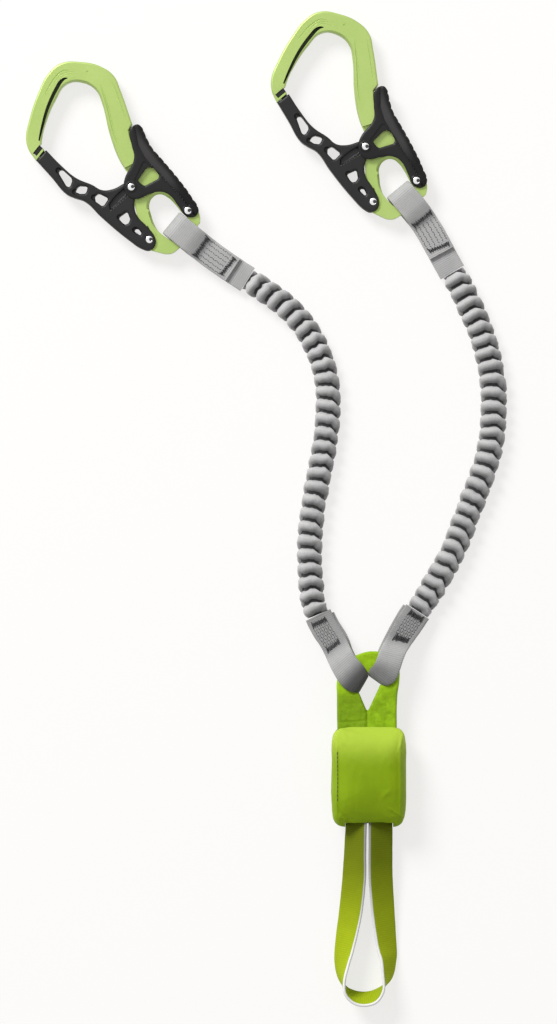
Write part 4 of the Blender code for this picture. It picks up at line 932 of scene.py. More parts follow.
def cloth_material(name, dark, light, arch_shade=0.0, seam=0.0, lit_top_colour=None):
    """Plain woven cloth; with a lit top colour it is paler towards its top, a painted light.

    With an arch shade share its low part has darker patches and is darker left of the seam: painted shade.
    """
    nodes = Nodes(name, 0.5, 0.0, Specular_IOR_Level=0.15)
    place = nodes.object_place()
    split = nodes.add("SeparateXYZ")
    nodes.link(place, split.inputs[0])
    side = nodes.math("ADD", split.outputs[0], nodes.math("MULTIPLY", split.outputs[2], 0.7))
    length = nodes.math("ADD", split.outputs[1], nodes.math("MULTIPLY", split.outputs[2], 0.4))
    weave = nodes.math("MULTIPLY", nodes.wave(side, CLOTH_PITCH), nodes.wave(length, CLOTH_PITCH))
    thread = nodes.noise(place, 1700, 2)
    cloud = nodes.noise(place, 50, 3)
    height = nodes.math("MULTIPLY_ADD", weave, 0.6, thread)
    share = nodes.cloth_share(height, cloud, -0.2, 1.2, 0.6)
    tone = nodes.mix(share, dark, light)
    # Painted light: the cloth is mixed towards a paler green towards the top, as if lit more there
    if lit_top_colour:
        paler = nodes.mix(share, tuple(0.85 * part for part in lit_top_colour), lit_top_colour)
        tone = nodes.mix(nodes.span(split.outputs[1], 6 * MM, 27 * MM, smooth=True), tone, paler)
    # Painted shade: darker patches for the crumples of the low part, and a darker colour left of the seam
    if arch_shade:
        low_part = nodes.span(split.outputs[1], 47 * MM, 54 * MM, 1, 0, smooth=True)
        patches = nodes.noise(place, 190, 4, 0.65)
        patches = nodes.math("MULTIPLY", nodes.span(patches, 0.38, 0.62, 0, arch_shade, smooth=True), low_part)
        tone = nodes.mix(patches, tone, tuple(0.45 * part for part in dark))
        shaded_left = nodes.mix(share, tuple(0.5 * part for part in dark), tuple(0.6 * part for part in light))
        beyond = nodes.span(split.outputs[0], seam - 0.4 * MM, seam + 0.4 * MM, 0.75, 0)
        tone = nodes.mix(nodes.math("MULTIPLY", beyond, low_part), tone, shaded_left)
    nodes.colour(tone)
    nodes.bump(height, 0.1 * MM)
    return nodes.material


def thread_material(name, dark, light):
    """Sewing thread, finely mottled."""
    nodes = Nodes(name, 0.7, 0.0, Sheen_Weight=0.2)
    place = nodes.object_place()
    nodes.colour(nodes.mix(nodes.noise(place, 1500, 2), dark, light))
    return nodes.material


def make_materials():
    return {
        "anodised": anodised_material(),
        "groove": groove_shade_material(),
        "black": black_material(),
        "steel": steel_material(),
        "dimple_shade": dimple_shade_material(),
        "webbing": webbing_material(
            "grey_webbing", (0.25, 0.247, 0.25), (0.60, 0.595, 0.585), 0.9 * MM, 1.15 * MM),
        "sleeve": sleeve_material(),
        "cloth": cloth_material(
            "green_cloth", (0.205, 0.33, 0.002), (0.315, 0.48, 0.004), lit_top_colour=(0.47, 0.645, 0.055)),
        "arch": cloth_material(
            "arch_cloth", (0.24, 0.43, 0.004), (0.40, 0.67, 0.012), arch_shade=0.35, seam=-2.0 * MM),
        "loop": webbing_material(
            "green_webbing", (0.27, 0.345, 0.004), (0.44, 0.55, 0.012), 0.8 * MM, 1.3 * MM,
            sheen=0.0, shine=0.15, depth=0.03, selvedge=(7.1 * MM, (0.86, 0.85, 0.84))),
        "dark_thread": thread_material("dark_thread", (0.008, 0.008, 0.008), (0.03, 0.03, 0.03)),
        "grey_thread": thread_material("grey_thread", (0.03, 0.03, 0.03), (0.10, 0.10, 0.10)),
        "green_thread": thread_material("green_thread", (0.02, 0.032, 0.003), (0.05, 0.075, 0.006)),
    }


# Carabiner, in its own frame: origin at the lever's rivet, in the middle plane

def bar_axes():
    """The webbing bar's middle, the way along it and the way into the eye."""
    slope = math.radians(BAR_SLOPE_DEG)
    along = Vector((math.cos(slope), math.sin(slope)))
    inward = Vector((-math.sin(slope), math.cos(slope)))
    return place_of(BAR_CENTRE_SHARE), along, inward


def eye_hole():
    """Outline of the eye above the bar, a little wider than the strap."""
    centre, along, inward = bar_axes()
    width = STRAP_WIDTH + 2 * EYE_SIDE_GAP
    hole = []
    for u_share, v_share, *rest in EYE_SHARES:
        spot = centre + along * (u_share * width) + inward * (v_share * PART)
        hole.append((spot.x, spot.y, *rest))
    return hole


def flare_cutters(name, outline, flares, top=FRAME_THICKNESS / 2, depth=FLARE_DEPTH):
    """Widens the edge of an opening towards both faces; the outline goes round clockwise."""
    count = len(outline)
    profile = [(n / 6, (n / 6) ** 0.85) for n in range(7)]
    cutters = []
    for way in (1, -1):
        rings = []
        levels = [(0.0, -0.1)] + profile + [(1.0, 1.0 + OVERRUN / depth)]
        for out_share, up_share in levels:
            height = top - depth + depth * up_share
            ring = []
            for number, point in enumerate(outline):
                ahead = (outline[(number + 1) % count] - outline[number - 1]).normalized()
                outward = Vector((-ahead.y, ahead.x)) * (flares[number] * out_share - FLARE_GAP)
                ring.append(Vector((point.x + outward.x, point.y + outward.y, way * height)))
            rings.append(ring)
        cutters.append(welded(grid_mesh(name, rings)))
    return cutters


def opening_flares():
    """The bevel round the frame's opening, wide at the spine and none at the nose."""
    fine = smooth_curve([(x * PART, y * PART, flare) for x, y, flare in OPENING_FLARE_SHARES], 6)
    inside = [place_of(share) for share in OPENING_INSIDE_SHARES]
    outline = [point.xy for point in fine] + inside
    flares = [point.z * OPENING_FLARE for point in fine] + [0.0, 0.0]
    flares[0] = flares[len(fine) - 1] = 0.0
    return flare_cutters("opening_flare", outline[::-1], flares[::-1])


def eye_flares():
    """The bevel round the eye, on the thick plate below and on the thin tang above."""
    line = smooth_curve([(x, y, 0) for x, y, *_ in eye_hole()[1:]], 6)
    outline = [point.xy for point in line] + [Vector(eye_hole()[0][:2])]
    shares = [math.sin(math.pi * n / (len(outline) - 1)) ** 0.5 for n in range(len(outline))]
    cutters = []
    for plate, way in ((EYE_PLATE_THICKNESS, -1), (TANG_THICKNESS, 1)):
        flares = []
        for point, share in zip(outline[::-1], shares[::-1]):
            thin = smoothstep(10.4, 12.8, point.y / PART)
            flares.append(EYE_FLARE * share * (thin if way > 0 else 1 - thin))
        depth = min(plate / 2 - EYE_FLARE_REST, EYE_FLARE_DEPTH)
        cutters += flare_cutters("eye_flare", outline[::-1], flares, plate / 2, depth)
    return cutters


def deep_groove_line():
    """Places along the deep groove in plan, each with its width in millimetres."""
    rows = [
        (x * PART, y * PART, width)
        for (x, y), width in zip(DEEP_GROOVE_SHARES, DEEP_GROOVE_WIDTHS_MM)
    ]
    return even_points(smooth_curve(rows), 50)[0]


def deep_groove_cutters():
    line = deep_groove_line()
    outline = ribbon([point.xy for point in line], [point.z * MM for point in line])
    thickness = OVERRUN + DEEP_GROOVE_DEPTH
    middle = FRAME_THICKNESS / 2 + OVERRUN / 2 - DEEP_GROOVE_DEPTH / 2
    return [outline_mesh("deep_groove", [outline], thickness, middle=way * middle) for way in (1, -1)]


def groove_cutters(name, shares, radius, depth):
    """A tapering tube sunk into each face along a smooth line."""
    line, _ = even_points(smooth_curve([(x * PART, y * PART, 0) for x, y in shares]), 60)
    widths = [0.25 + 0.75 * math.sin(math.pi * (n + 0.5) / len(line)) ** 0.5 for n in range(len(line))]
    cutters = []
    for way in (1, -1):
        height = way * (FRAME_THICKNESS / 2 + radius - depth)
        lifted = [(point.x, point.y, height) for point in line]
        cutters.append(tube_mesh(name, lifted, radius, widths))
    return cutters


def recess_cutters():
    """Room for the lever's fork on the spine and for the gate's fork on the tang, on both faces."""
    cutters = []
    for shares, plate in ((LOWER_RECESS_SHARES, EYE_PLATE_THICKNESS), (TANG_RECESS_SHARES, TANG_THICKNESS)):
        depth = FRAME_CUT_TOP - plate / 2
        for way in (1, -1):
            cutters.append(outline_mesh(
                "recess", [corners_kept(scaled(shares))], depth, middle=way * (plate / 2 + depth / 2)))
    return cutters


def bar_chamfer_cutters():
    """Boxes that take the four long edges off the webbing bar."""
    centre, along, _ = bar_axes()
    half = (STRAP_WIDTH + EYE_SIDE_GAP) / 2
    size = EYE_PLATE_THICKNESS
    turn = Matrix.Rotation(math.atan2(along.y, along.x), 4, "Z")
    cutters = []
    for quarter in range(4):
        box = box_mesh(
            "chamfer", (-half, -size / 2, BAR_CHAMFER_REACH), (half, size / 2, BAR_CHAMFER_REACH + size))
        roll = Matrix.Rotation(math.pi / 4 + quarter * math.pi / 2, 4, "X")
        box.transform(Matrix.Translation((centre.x, centre.y, 0)) @ turn @ roll)
        cutters.append(box)
    return cutters


def nose_cutters():
    """The nose's end, and the wide slot behind it with the neck that leads there."""
    pivot = place_of(GATE_PIVOT_SHARE)
    whole = FRAME_THICKNESS + OVERRUN
    lip = NOSE_LIP_RADIUS_SHARE * PART
    cuts = (
        (NOSE_CUT_RADIUS_SHARE * PART, NOSE_END_RADIUS_SHARE * PART, NOSE_CUT_DEG, 12, whole),
        (lip, NOSE_SLOT_END_SHARE * PART, NOSE_OUTER_DEG, 8, whole),
        (TONGUE_ROOT_SHARE * PART, lip + FIT_GAP, NECK_CUT_DEG, 8, NECK_WIDTH + 2 * FIT_GAP),
    )
    return [
        outline_mesh("nose_cut", [sector(pivot, inner, outer, start_deg, NOSE_INNER_DEG, steps)], thickness)
        for inner, outer, start_deg, steps, thickness in cuts
    ]


def pivot_cutters():
    """Rivet hole, spring pocket and the channel of the spring's leg, for lever and gate."""
    cutters = []
    for share, depth, plate, way in (
            (LEVER_PIVOT_SHARE, LEVER_POCKET_DEPTH, EYE_PLATE_THICKNESS, 1),
            (GATE_PIVOT_SHARE, GATE_POCKET_DEPTH, TANG_THICKNESS, -1)):
        pivot = place_of(share)
        bottom = plate / 2 - depth
        low_x, high_x = sorted((pivot.x - way * SPRING_WALL, pivot.x + way * SPRING_LEG))
        cutters += [
            disc_mesh("hole", pivot, RIVET_HOLE_RADIUS, -FRAME_CUT_TOP, FRAME_CUT_TOP),
            disc_mesh("pocket", pivot, SPRING_POCKET_RADIUS, bottom, FRAME_CUT_TOP),
            box_mesh("channel", (low_x, pivot.y, bottom), (high_x, pivot.y + SPRING_LEG, FRAME_CUT_TOP)),
        ]
    return cutters


def surface_cutters():
    """What is pressed into both faces: the grooves, and the dimple at the bow's top."""
    cutters = deep_groove_cutters()
    for shares, depth in zip(FINE_GROOVE_SHARES, FINE_GROOVE_DEPTHS_MM):
        cutters += groove_cutters("fine_groove", shares, FINE_GROOVE_RADIUS, depth * MM)
    cutters += groove_cutters("spine_groove", SPINE_GROOVE_SHARES, SPINE_GROOVE_RADIUS, SPINE_GROOVE_DEPTH)
    cutters += groove_cutters("outer_groove", OUTER_GROOVE_SHARES, OUTER_GROOVE_RADIUS, OUTER_GROOVE_DEPTH)
    for way in (1, -1):
        heights = sorted((way * (FRAME_THICKNESS / 2 - DIMPLE_DEPTH), way * FRAME_CUT_TOP))
        cutters.append(disc_mesh("dimple", place_of(DIMPLE_SHARE), DIMPLE_RADIUS, *heights, 20))
    return cutters


def mark_deep_groove(mesh):
    """Gives the floor and walls of the deep groove the second material, a painted shade."""
    line = deep_groove_line()
    for polygon in mesh.polygons:
        x, y, z = polygon.center
        depth = FRAME_THICKNESS / 2 - abs(z)
        on_floor = abs(depth - DEEP_GROOVE_DEPTH) < 0.02 * MM and y > 70 * MM
        near, half_width = min(((point.xy - Vector((x, y))).length, point.z * MM / 2) for point in line)
        upright = abs(polygon.normal.z) < 0.3
        on_wall = upright and near < half_width + 0.3 * MM and 0.1 * MM < depth < DEEP_GROOVE_DEPTH
        if on_floor or on_wall:
            polygon.material_index = 1


def frame_mesh():
    plate = outline_mesh(
        "frame_plate", [scaled(FRAME_OUTLINE_SHARES), eye_hole()], FRAME_THICKNESS, FRAME_ROUND, 4)
    cutters = recess_cutters() + bar_chamfer_cutters() + nose_cutters() + pivot_cutters()
    cutters += opening_flares() + eye_flares() + surface_cutters()
    mesh = carved("frame", plate, cutters)
    mark_deep_groove(mesh)
    return mesh


def pin_path_in_gate():
    """Where the cam pin goes in the gate while the lever is squeezed."""
    steps = 6
    lever_pivot = place_of(LEVER_PIVOT_SHARE)
    gate_pivot = place_of(GATE_PIVOT_SHARE)
    path = []
    for step in range(steps + 1):
        squeeze = LEVER_TRAVEL_DEG * step / steps
        moved = turned(place_of(CAM_PIN_SHARE), lever_pivot, squeeze)
        path.append(turned(moved, gate_pivot, squeeze * GATE_RATIO))
    return path


def reshaped(mesh, inner, outer, height_at):
    """Moves both faces of a plate so that its half thickness follows height_at(x, y)."""
    for vertex in mesh.vertices:
        x, y, z = vertex.co
        if abs(z) <= inner:
            continue
        share = (abs(z) - inner) / (outer - inner)
        vertex.co.z = math.copysign(inner + share * (height_at(x / PART, y / PART) * MM - inner), z)
    return mesh


def inside_polygon(x, y, corners):
    """How far a place lies inside a convex polygon that goes round clockwise."""
    depths = []
    for (ax, ay), (bx, by) in zip(corners, corners[1:] + corners[:1]):
        length = math.hypot(bx - ax, by - ay)
        depths.append(((bx - ax) * (ay - y) - (by - ay) * (ax - x)) / length)
    return min(depths)


def gate_height(x, y):
    """Half thickness of the gate in millimetres, with its pocket and the scoops by its windows."""
    height = GATE_THICKNESS / 2 / MM
    height -= POCKET_DEPTH_MM * smoothstep(0.0, POCKET_SLOPE_MM, inside_polygon(x, y, GATE_POCKET_SHARES))
    for scoop_x, scoop_y in GATE_SCOOP_SHARES:
        reach = math.hypot(x - scoop_x, y - scoop_y) / SCOOP_RADIUS_MM
        if reach < 1:
            height = min(height, SCOOP_TOP_MM - SCOOP_DEPTH_MM * (1 - reach ** 4))
    return height


def gate_mesh():
    pivot = place_of(GATE_PIVOT_SHARE)
    windows = [corners_kept(scaled(window)) for window in GATE_WINDOW_SHARES]
    plate = outline_mesh(
        "gate_plate", [scaled(GATE_OUTLINE_SHARES)] + windows, GATE_THICKNESS, GATE_ROUND)
    cutters = [
        outline_mesh("fork", [corners_kept(scaled(GATE_FORK_SHARES))], GATE_FORK_WIDTH),
        disc_mesh("hole", pivot, RIVET_HOLE_RADIUS, -GATE_THICKNESS, GATE_THICKNESS),
    ]
    slot = capsule(pin_path_in_gate(), RIVET_HOLE_RADIUS)
    for way in (1, -1):
        middle = way * (CAM_SLOT_FLOOR + GATE_THICKNESS / 2)
        cutters.append(outline_mesh("cam_slot", [slot], GATE_THICKNESS, middle=middle))
    mesh = remeshed("gate", carved("gate", plate, cutters), PLATE_VOXEL)
    mesh = reshaped(mesh, GATE_CORE, GATE_THICKNESS / 2, gate_height)
    return joined("gate", [mesh] + tongue_meshes(pivot))


def tongue_meshes(pivot):
    """The gate's tongue for the nose: a neck and a wide head."""
    neck = sector(
        pivot, TONGUE_ROOT_SHARE * PART, TONGUE_HEAD_START_SHARE * PART + FIT_GAP,
        NECK_OUTER_DEG, NECK_INNER_DEG)
    head = sector(
        pivot, TONGUE_HEAD_START_SHARE * PART, TONGUE_HEAD_END_SHARE * PART,
        TONGUE_OUTER_DEG, TONGUE_INNER_DEG)
    return [
        outline_mesh("tongue_neck", [neck], NECK_WIDTH),
        outline_mesh("tongue_head", [head], GATE_THICKNESS - 2 * TONGUE_DROP),
    ]


def lever_height(x, y):
    """Half thickness of the lever in millimetres: crease, ridge, ledge and the bosses of the rivets."""
    crease = table_value(PALM_CREASE_SHARES, y)
    shoulder = table_value(PALM_SHOULDER_SHARES, y)
    edge = table_value(PALM_EDGE_SHARES, y)
    if x < crease:
        height = LEVER_BACK_MM
    elif x < shoulder:
        rise = math.sin(math.pi / 2 * (x - crease) / (shoulder - crease))
        height = LEVER_CREASE_MM + LEVER_RISE_MM * rise
    else:
        height = LEVER_TOP_MM - LEVER_FALL_MM * min((x - shoulder) / (edge - shoulder), 1.0) ** 1.3
    height -= CREASE_DEPTH_MM * math.exp(-((x - crease + CREASE_OFFSET_MM) / CREASE_WIDTH_MM) ** 2)
    on_ledge = smoothstep(0.0, 0.5, inside_polygon(x, y, LEVER_LEDGE_SHARES[::-1]))
    height += (LEVER_LEDGE_MM - height) * on_ledge
    for share in (LEVER_PIVOT_SHARE, CAM_PIN_SHARE):
        reach = math.hypot(x - share[0], y - share[1])
        height += (LEVER_TOP_MM - height) * (1 - smoothstep(*LEVER_BOSS_RADII_MM, reach))
    return height


def serrate_palm_edge(mesh):
    """Notches the outer edge that the palm presses."""
    for vertex in mesh.vertices:
        x, y, z = vertex.co / PART
        edge = table_value(PALM_EDGE_SHARES, y)
        near = smoothstep(edge - 2.2, edge - 0.6, x) * smoothstep(-3, 0, y) * (1 - smoothstep(56, 59, y))
        notch = abs(math.cos(math.pi * y / SERRATION_PITCH_MM)) ** 8
        vertex.co.x -= near * SERRATION_DEPTH_MM * MM * notch


def tone_lever(mesh):
    """Marks the palm's facet, which a painted highlight makes paler, and how dull the rest is."""
    palm_highlight = []
    dull = []
    for vertex in mesh.vertices:
        x, y, z = vertex.co / PART
        crease = table_value(PALM_CREASE_SHARES, y)
        shoulder = table_value(PALM_SHOULDER_SHARES, y)
        facet = smoothstep(crease - 0.2, crease + 0.5, x)
        facet *= 1 - smoothstep(shoulder - 3.0, shoulder + 0.4, x)
        facet *= smoothstep(8, 26, y) * (1 - 0.5 * smoothstep(46, 58, y))
        palm_highlight.append(facet)
        dull.append((1 - facet) * (0.45 if x < crease else 1.0))
    # The facet's painted highlight, which the black material reads
    add_values(mesh, "palm_highlight", palm_highlight)
    add_values(mesh, "dull", dull)


def lever_mesh():
    plate = outline_mesh(
        "lever_plate", [scaled(LEVER_OUTLINE_SHARES), corners_kept(scaled(LEVER_WINDOW_SHARES))],
        LEVER_THICKNESS, LEVER_ROUND)
    cutters = [outline_mesh("fork", [corners_kept(scaled(LEVER_FORK_SHARES))], LEVER_FORK_WIDTH)]
    for share in (LEVER_PIVOT_SHARE, CAM_PIN_SHARE):
        cutters.append(disc_mesh(
            "hole", place_of(share), RIVET_HOLE_RADIUS, -LEVER_THICKNESS, LEVER_THICKNESS))
    mesh = remeshed("lever", carved("lever", plate, cutters), PLATE_VOXEL)
    mesh = reshaped(mesh, LEVER_CORE, LEVER_THICKNESS / 2, lever_height)
    serrate_palm_edge(mesh)
    tone_lever(mesh)
    return mesh


def rivet_mesh(gripped, shank_end=0.0):
    """A turned rivet with a low domed head at each end, punched beside its middle.

    With a shank end the shank stops at that height on each side, as two stubs.
    """
    seat = gripped / 2 + HEAD_SEAT_GAP
    shank = RIVET_RADIUS / RIVET_HEAD_RADIUS
    half = [(share, seat + RIVET_HEAD_HEIGHT * up, shift) for share, up, shift in RIVET_HEAD_SHARES]
    half.append((shank, seat, 0))
    if not shank_end:
        return turned_mesh(half + [(share, -z, shift) for share, z, shift in reversed(half)], seat)
    stub = turned_mesh(half + [(shank, shank_end, 0), (0.5 * shank, shank_end, 0)], seat)
    mirror = stub.copy()
    mirror.transform(Matrix.Diagonal((1, 1, -1, 1)))
    mirror.flip_normals()
    return joined("stubs", [stub, mirror])


def turned_mesh(profile, seat):
    """A turned body; the floor of its head's dimple has the second material, a painted shade."""
    sides = 32
    dimple = Vector(RIVET_DIMPLE_SHIFT_SHARE) * RIVET_HEAD_RADIUS
    rings = []
    for share, z, shift in profile:
        radius = share * RIVET_HEAD_RADIUS
        centre = dimple * shift
        rings.append([
            (centre.x + radius * math.cos(2 * math.pi * n / sides),
             centre.y + radius * math.sin(2 * math.pi * n / sides), z)
            for n in range(sides)
        ])
    mesh = grid_mesh("rivet", rings[::-1])
    for polygon in mesh.polygons:
        reach = (polygon.center.xy - dimple).length
        if reach < RIVET_DIMPLE_RADIUS_SHARE * RIVET_HEAD_RADIUS and abs(polygon.center.z) > seat:
            polygon.material_index = 1
    return mesh


def carabiner_matrix(side):
    """From the carabiner's own frame to its place: the webbing bar's middle comes first."""
    x, y, lean = CARABINER_PLACES[side]
    centre = place_of(BAR_CENTRE_SHARE)
    turn = Matrix.Rotation(math.radians(lean), 4, "Z")
    return Matrix.Translation((x, y, PLANE_HEIGHT)) @ turn @ Matrix.Translation((-centre.x, -centre.y, 0))


def add_carabiners(materials):
    """Builds each piece once and places a copy of it on both sides."""
    shapes = (
        ("frame", frame_mesh(), "anodised", "groove", "carabiner", "green_anodised"),
        ("gate", gate_mesh(), "black", None, "gate_arm", "black_satin"),
        ("palm_lever", lever_mesh(), "black", None, "lever", "black_satin"),
    )
    rivets = (
        ("gate_rivet", GATE_PIVOT_SHARE, rivet_mesh(GATE_THICKNESS), "carabiner"),
        ("lever_rivet", LEVER_PIVOT_SHARE, rivet_mesh(LEVER_THICKNESS), "carabiner"),
        ("cam_pin", CAM_PIN_SHARE, rivet_mesh(LEVER_THICKNESS, CAM_SLOT_FLOOR + FIT_GAP), "lever"),
    )
    for side in SIDES:
        matrix = carabiner_matrix(side)
        for label, mesh, material, second, body, slot in shapes:
            placed = mesh.copy()
            placed.transform(matrix)
            add_piece(
                f"{side}_{label}_shape", placed, materials[material], f"{side}_{body}",
                [f"{side}_{label}"], 35, label == "frame", materials.get(second))
        for label, share, mesh, body in rivets:
            placed = mesh.copy()
            placed.transform(matrix @ Matrix.Translation((*place_of(share), 0)))
            add_piece(
                f"{side}_{label}_shape", placed, materials["steel"], f"{side}_{body}",
                [f"{side}_{label}"], second=materials["dimple_shade"])
        for label in ("gate_spring", "lever_spring"):
            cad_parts[f"{side}_{label}"].material_slots[0].material = materials["steel"]


# Straps

def selvedges(middle, ahead, width):
    """Both edges of a strap in plan, as one vector of four numbers."""
    half = Vector((ahead.y, -ahead.x)) * width / 2
    return Vector((*(middle - half), *(middle + half)))


def middle_of(pair):
    return Vector(((pair[0] + pair[2]) / 2, (pair[1] + pair[3]) / 2))


class Plan:
    """A strap's selvedges in plan, from its fold on, and its height at each distance."""

    def __init__(self, pairs, level_until, heights, cavity, level, stitch_start, back_slide=0.0):
        self.pairs = pairs
        self.starts = [0.0]
        for a, b in zip(pairs, pairs[1:]):
            self.starts.append(self.starts[-1] + (middle_of(b) - middle_of(a)).length)
        self.length = self.starts[-1]
        self.level_until = level_until
        self.heights = heights
        self.radius = cavity + STRAP_THICKNESS / 2
        self.closed = STRAP_THICKNESS / 2 + FIT_GAP / 2
        self.level_end = STRAP_THICKNESS / 2 + self.radius + level
        self.stitch_start = stitch_start
        self.back_slide = back_slide

    def edges(self, distance):
        span = 0
        while span < len(self.pairs) - 2 and self.starts[span + 1] < distance:
            span += 1
        share = (distance - self.starts[span]) / (self.starts[span + 1] - self.starts[span])
        return self.pairs[span] + (self.pairs[span + 1] - self.pairs[span]) * share

    def lift(self, distance):
        """How far the layer's middle lies from the strap's middle plane."""
        bend = STRAP_THICKNESS / 2 + self.radius
        if distance < bend:
            rest = 1 - max(distance - STRAP_THICKNESS / 2, 0.0) / self.radius
            return self.radius * math.sqrt(max(1 - rest * rest, 0.0))
        share = smoothstep(self.level_end, self.stitch_start, distance)
        return self.closed + (self.radius - self.closed) * (1 - share)

    def station(self, distance, way, lift=None):
        """Both edges at a distance, on the upper layer (way 1) or the lower one (-1)."""
        pair = self.edges(distance)
        ease = smoothstep(self.level_until, self.length, distance)
        height = self.heights[0] + (self.heights[1] - self.heights[0]) * ease
        height += way * (self.lift(distance) if lift is None else lift)
        left, right = Vector((pair[0], pair[1], height)), Vector((pair[2], pair[3], height))
        if way < 0:
            slid = smoothstep(*BACK_SLIDE_SPAN, distance)
            slide = (right - left).normalized() * self.back_slide * slid
            left, right = left + slide, right + slide
        return left, right

    def path(self, front_end, back_end):
        """Stations from the lower layer's tail round the fold to the upper one's."""
        bends = 9
        fold = []
        for number in range(bends + 1):
            angle = math.pi / 2 * number / bends
            fold.append(
                (STRAP_THICKNESS / 2 + self.radius * (1 - math.cos(angle)), self.radius * math.sin(angle)))

        def layer(end):
            count = max(int((end - fold[-1][0]) / STATION_STEP), 2)
            rest = [fold[-1][0] + (end - fold[-1][0]) * n / count for n in range(1, count + 1)]
            return fold + [(distance, None) for distance in rest]

        back = [self.station(distance, -1, lift) for distance, lift in layer(back_end)[1:]]
        front = [self.station(distance, 1, lift) for distance, lift in layer(front_end)]
        return back[::-1] + front

    def surface(self, distance, share, lift, way):
        """A point on the outer face of a layer, share from -1 to 1 across it."""
        left, right = self.station(distance, way)
        before = self.station(distance - MM, way)
        after = self.station(distance + MM, way)
        ahead = (after[0] + after[1] - before[0] - before[1]).normalized()
        across = (right - left).normalized()
        normal = across.cross(ahead).normalized()
        if normal.z * way < 0:
            normal = -normal
        middle = (left + right) / 2
        return middle + (right - left) * (share / 2) + normal * (STRAP_THICKNESS / 2 + lift)


def strap_section(width, thickness):
    """A strap's rounded section as (across, up), going round once."""
    points = []
    end_steps = 5
    flat_steps = 8
    reach = width / 2 - thickness / 2
    for step in range(flat_steps + 1):
        points.append((reach - 2 * reach * step / flat_steps, thickness / 2))
    for step in range(1, end_steps):
        angle = math.pi / 2 + math.pi * step / end_steps
        points.append((-reach + thickness / 2 * math.cos(angle), thickness / 2 * math.sin(angle)))
    for step in range(flat_steps + 1):
        points.append((-reach + 2 * reach * step / flat_steps, -thickness / 2))
    for step in range(1, end_steps):
        angle = -math.pi / 2 + math.pi * step / end_steps
        points.append((reach + thickness / 2 * math.cos(angle), thickness / 2 * math.sin(angle)))
    return points


def strap_mesh(name, edges, thickness, ripple=STRAP_RIPPLE, seed=0.0, shades=None):
    """A strap through pairs of edge points, with a rounded section and slightly wavy selvedges."""
    middles = [(left + right) / 2 for left, right in edges]
    along = [0.0]
    for a, b in zip(middles, middles[1:]):
        along.append(along[-1] + (b - a).length)
    rings = []
    for number, (left, right) in enumerate(edges):
        across = (right - left).normalized()
        normal = across.cross(way_along(middles, number)).normalized()
        width = (right - left).length
        ring = []
        for side, up in strap_section(width, thickness):
            wave = noise.noise(Vector((along[number] * 220, seed + math.copysign(3, side), 0.3)))
            stretch = 1 + wave * ripple / (width / 2)
            lift = up + noise.noise(Vector((along[number] * 90, side * 120, seed))) * ripple
            ring.append(middles[number] + across * (side * stretch) + normal * lift)
        rings.append(ring)
    section = strap_section(STRAP_WIDTH, thickness)

    def weave_at(row, index):
        return section[index % len(section)][0], along[row]

    values = {"shade": [shade for shade in shades for _ in section]} if shades else None
    return grid_mesh(name, rings, weave_at, values)


def thread_mesh(name, lines, radius):
    """Short tubes of thread along lines of points."""
    sides = 5
    shape = bmesh.new()
    for line in lines:
        rings = []
        for number, point in enumerate(line):
            ahead = way_along(line, number)
            side = ahead.cross(Vector((0, 0, 1)))
            side = side.normalized() if side.length > 0.01 else Vector((1, 0, 0))
            up = side.cross(ahead)
            width = radius * (0.55 if number in (0, len(line) - 1) else 1.0)
            rings.append([
                shape.verts.new(point + (side * math.cos(2 * math.pi * n / sides)
                                         + up * math.sin(2 * math.pi * n / sides)) * width)
                for n in range(sides)
            ])
        for ring, after in zip(rings, rings[1:]):
            for n in range(sides):
                m = (n + 1) % sides
                shape.faces.new((ring[n], ring[m], after[m], after[n]))
        shape.faces.new(reversed(rings[0]))
        shape.faces.new(rings[-1])
    bmesh.ops.recalc_face_normals(shape, faces=shape.faces)
    return new_mesh(name, shape)


def bartack(plan, distance, reach, slant, low, high, way, seed):
    """Two ragged zigzags of thread across the strap, one over the other."""
    lines = []
    for layer, count in enumerate((44, 18)):
        points = []
        for number in range(count + 1):
            share = low + (high - low) * number / count
            jitter = noise.noise(Vector((number * 0.9, seed + 5 * layer, 4.2)))
            side = 1 if number % 2 else -1
            flag = 1 + 0.5 * (abs(2 * number / count - 1) > 0.86)
            drift = BARTACK_DRIFT * noise.noise(Vector((number * 0.22, seed, 7.7)))
            zigzag = side * reach * (0.7 + 0.45 * layer + 0.6 * jitter) * flag
            spot = distance + slant * share + drift + zigzag
            points.append(plan.surface(spot, share, (0.12 + 0.2 * layer) * MM, way))
        lines.append(points)
    return lines


def seam_rows(plan, start, end, shares, way):
    """Rows of slanting stitches along the strap."""
    lines = []
    count = int((end - start) / SEAM_PITCH)
    for row, share in enumerate(shares):
        for number in range(count):
            low = start + (end - start) * number / count
            high = low + SEAM_PITCH * 0.9
            lean = 0.045 if (number + row) % 2 else -0.045
            lines.append([
                plan.surface(low, share - lean, -SEAM_DIP, way),
                plan.surface((low + high) / 2, share, SEAM_RISE, way),
                plan.surface(high, share + lean, -SEAM_DIP, way)])
    return lines


def sleeve_line(side):
    return smooth_curve([(x * MM, y * MM, 0) for x, y in SLEEVE_ROUTES_MM[side]])


def sleeve_end(side, end):
    """Where a strap meets the sleeve's start (0) or end (-1), and the way out of it there."""
    points, _ = even_points(sleeve_line(side), SLEEVE_RIBS * 3 + 1)
    inner = 1 if end == 0 else -2
    ahead = (points[end] - points[inner]).normalized()
    place = points[end] + ahead * FIT_GAP
    return place.xy, ahead.xy


def bar_reach():
    """How far the webbing bar's chamfered edges reach from its middle."""
    reaches = []
    for half in (BAR_HALF_WIDTH_SHARE * PART, EYE_PLATE_THICKNESS / 2):
        reaches.append(math.hypot(half, BAR_CHAMFER_REACH * math.sqrt(2) - half))
    return max(reaches)


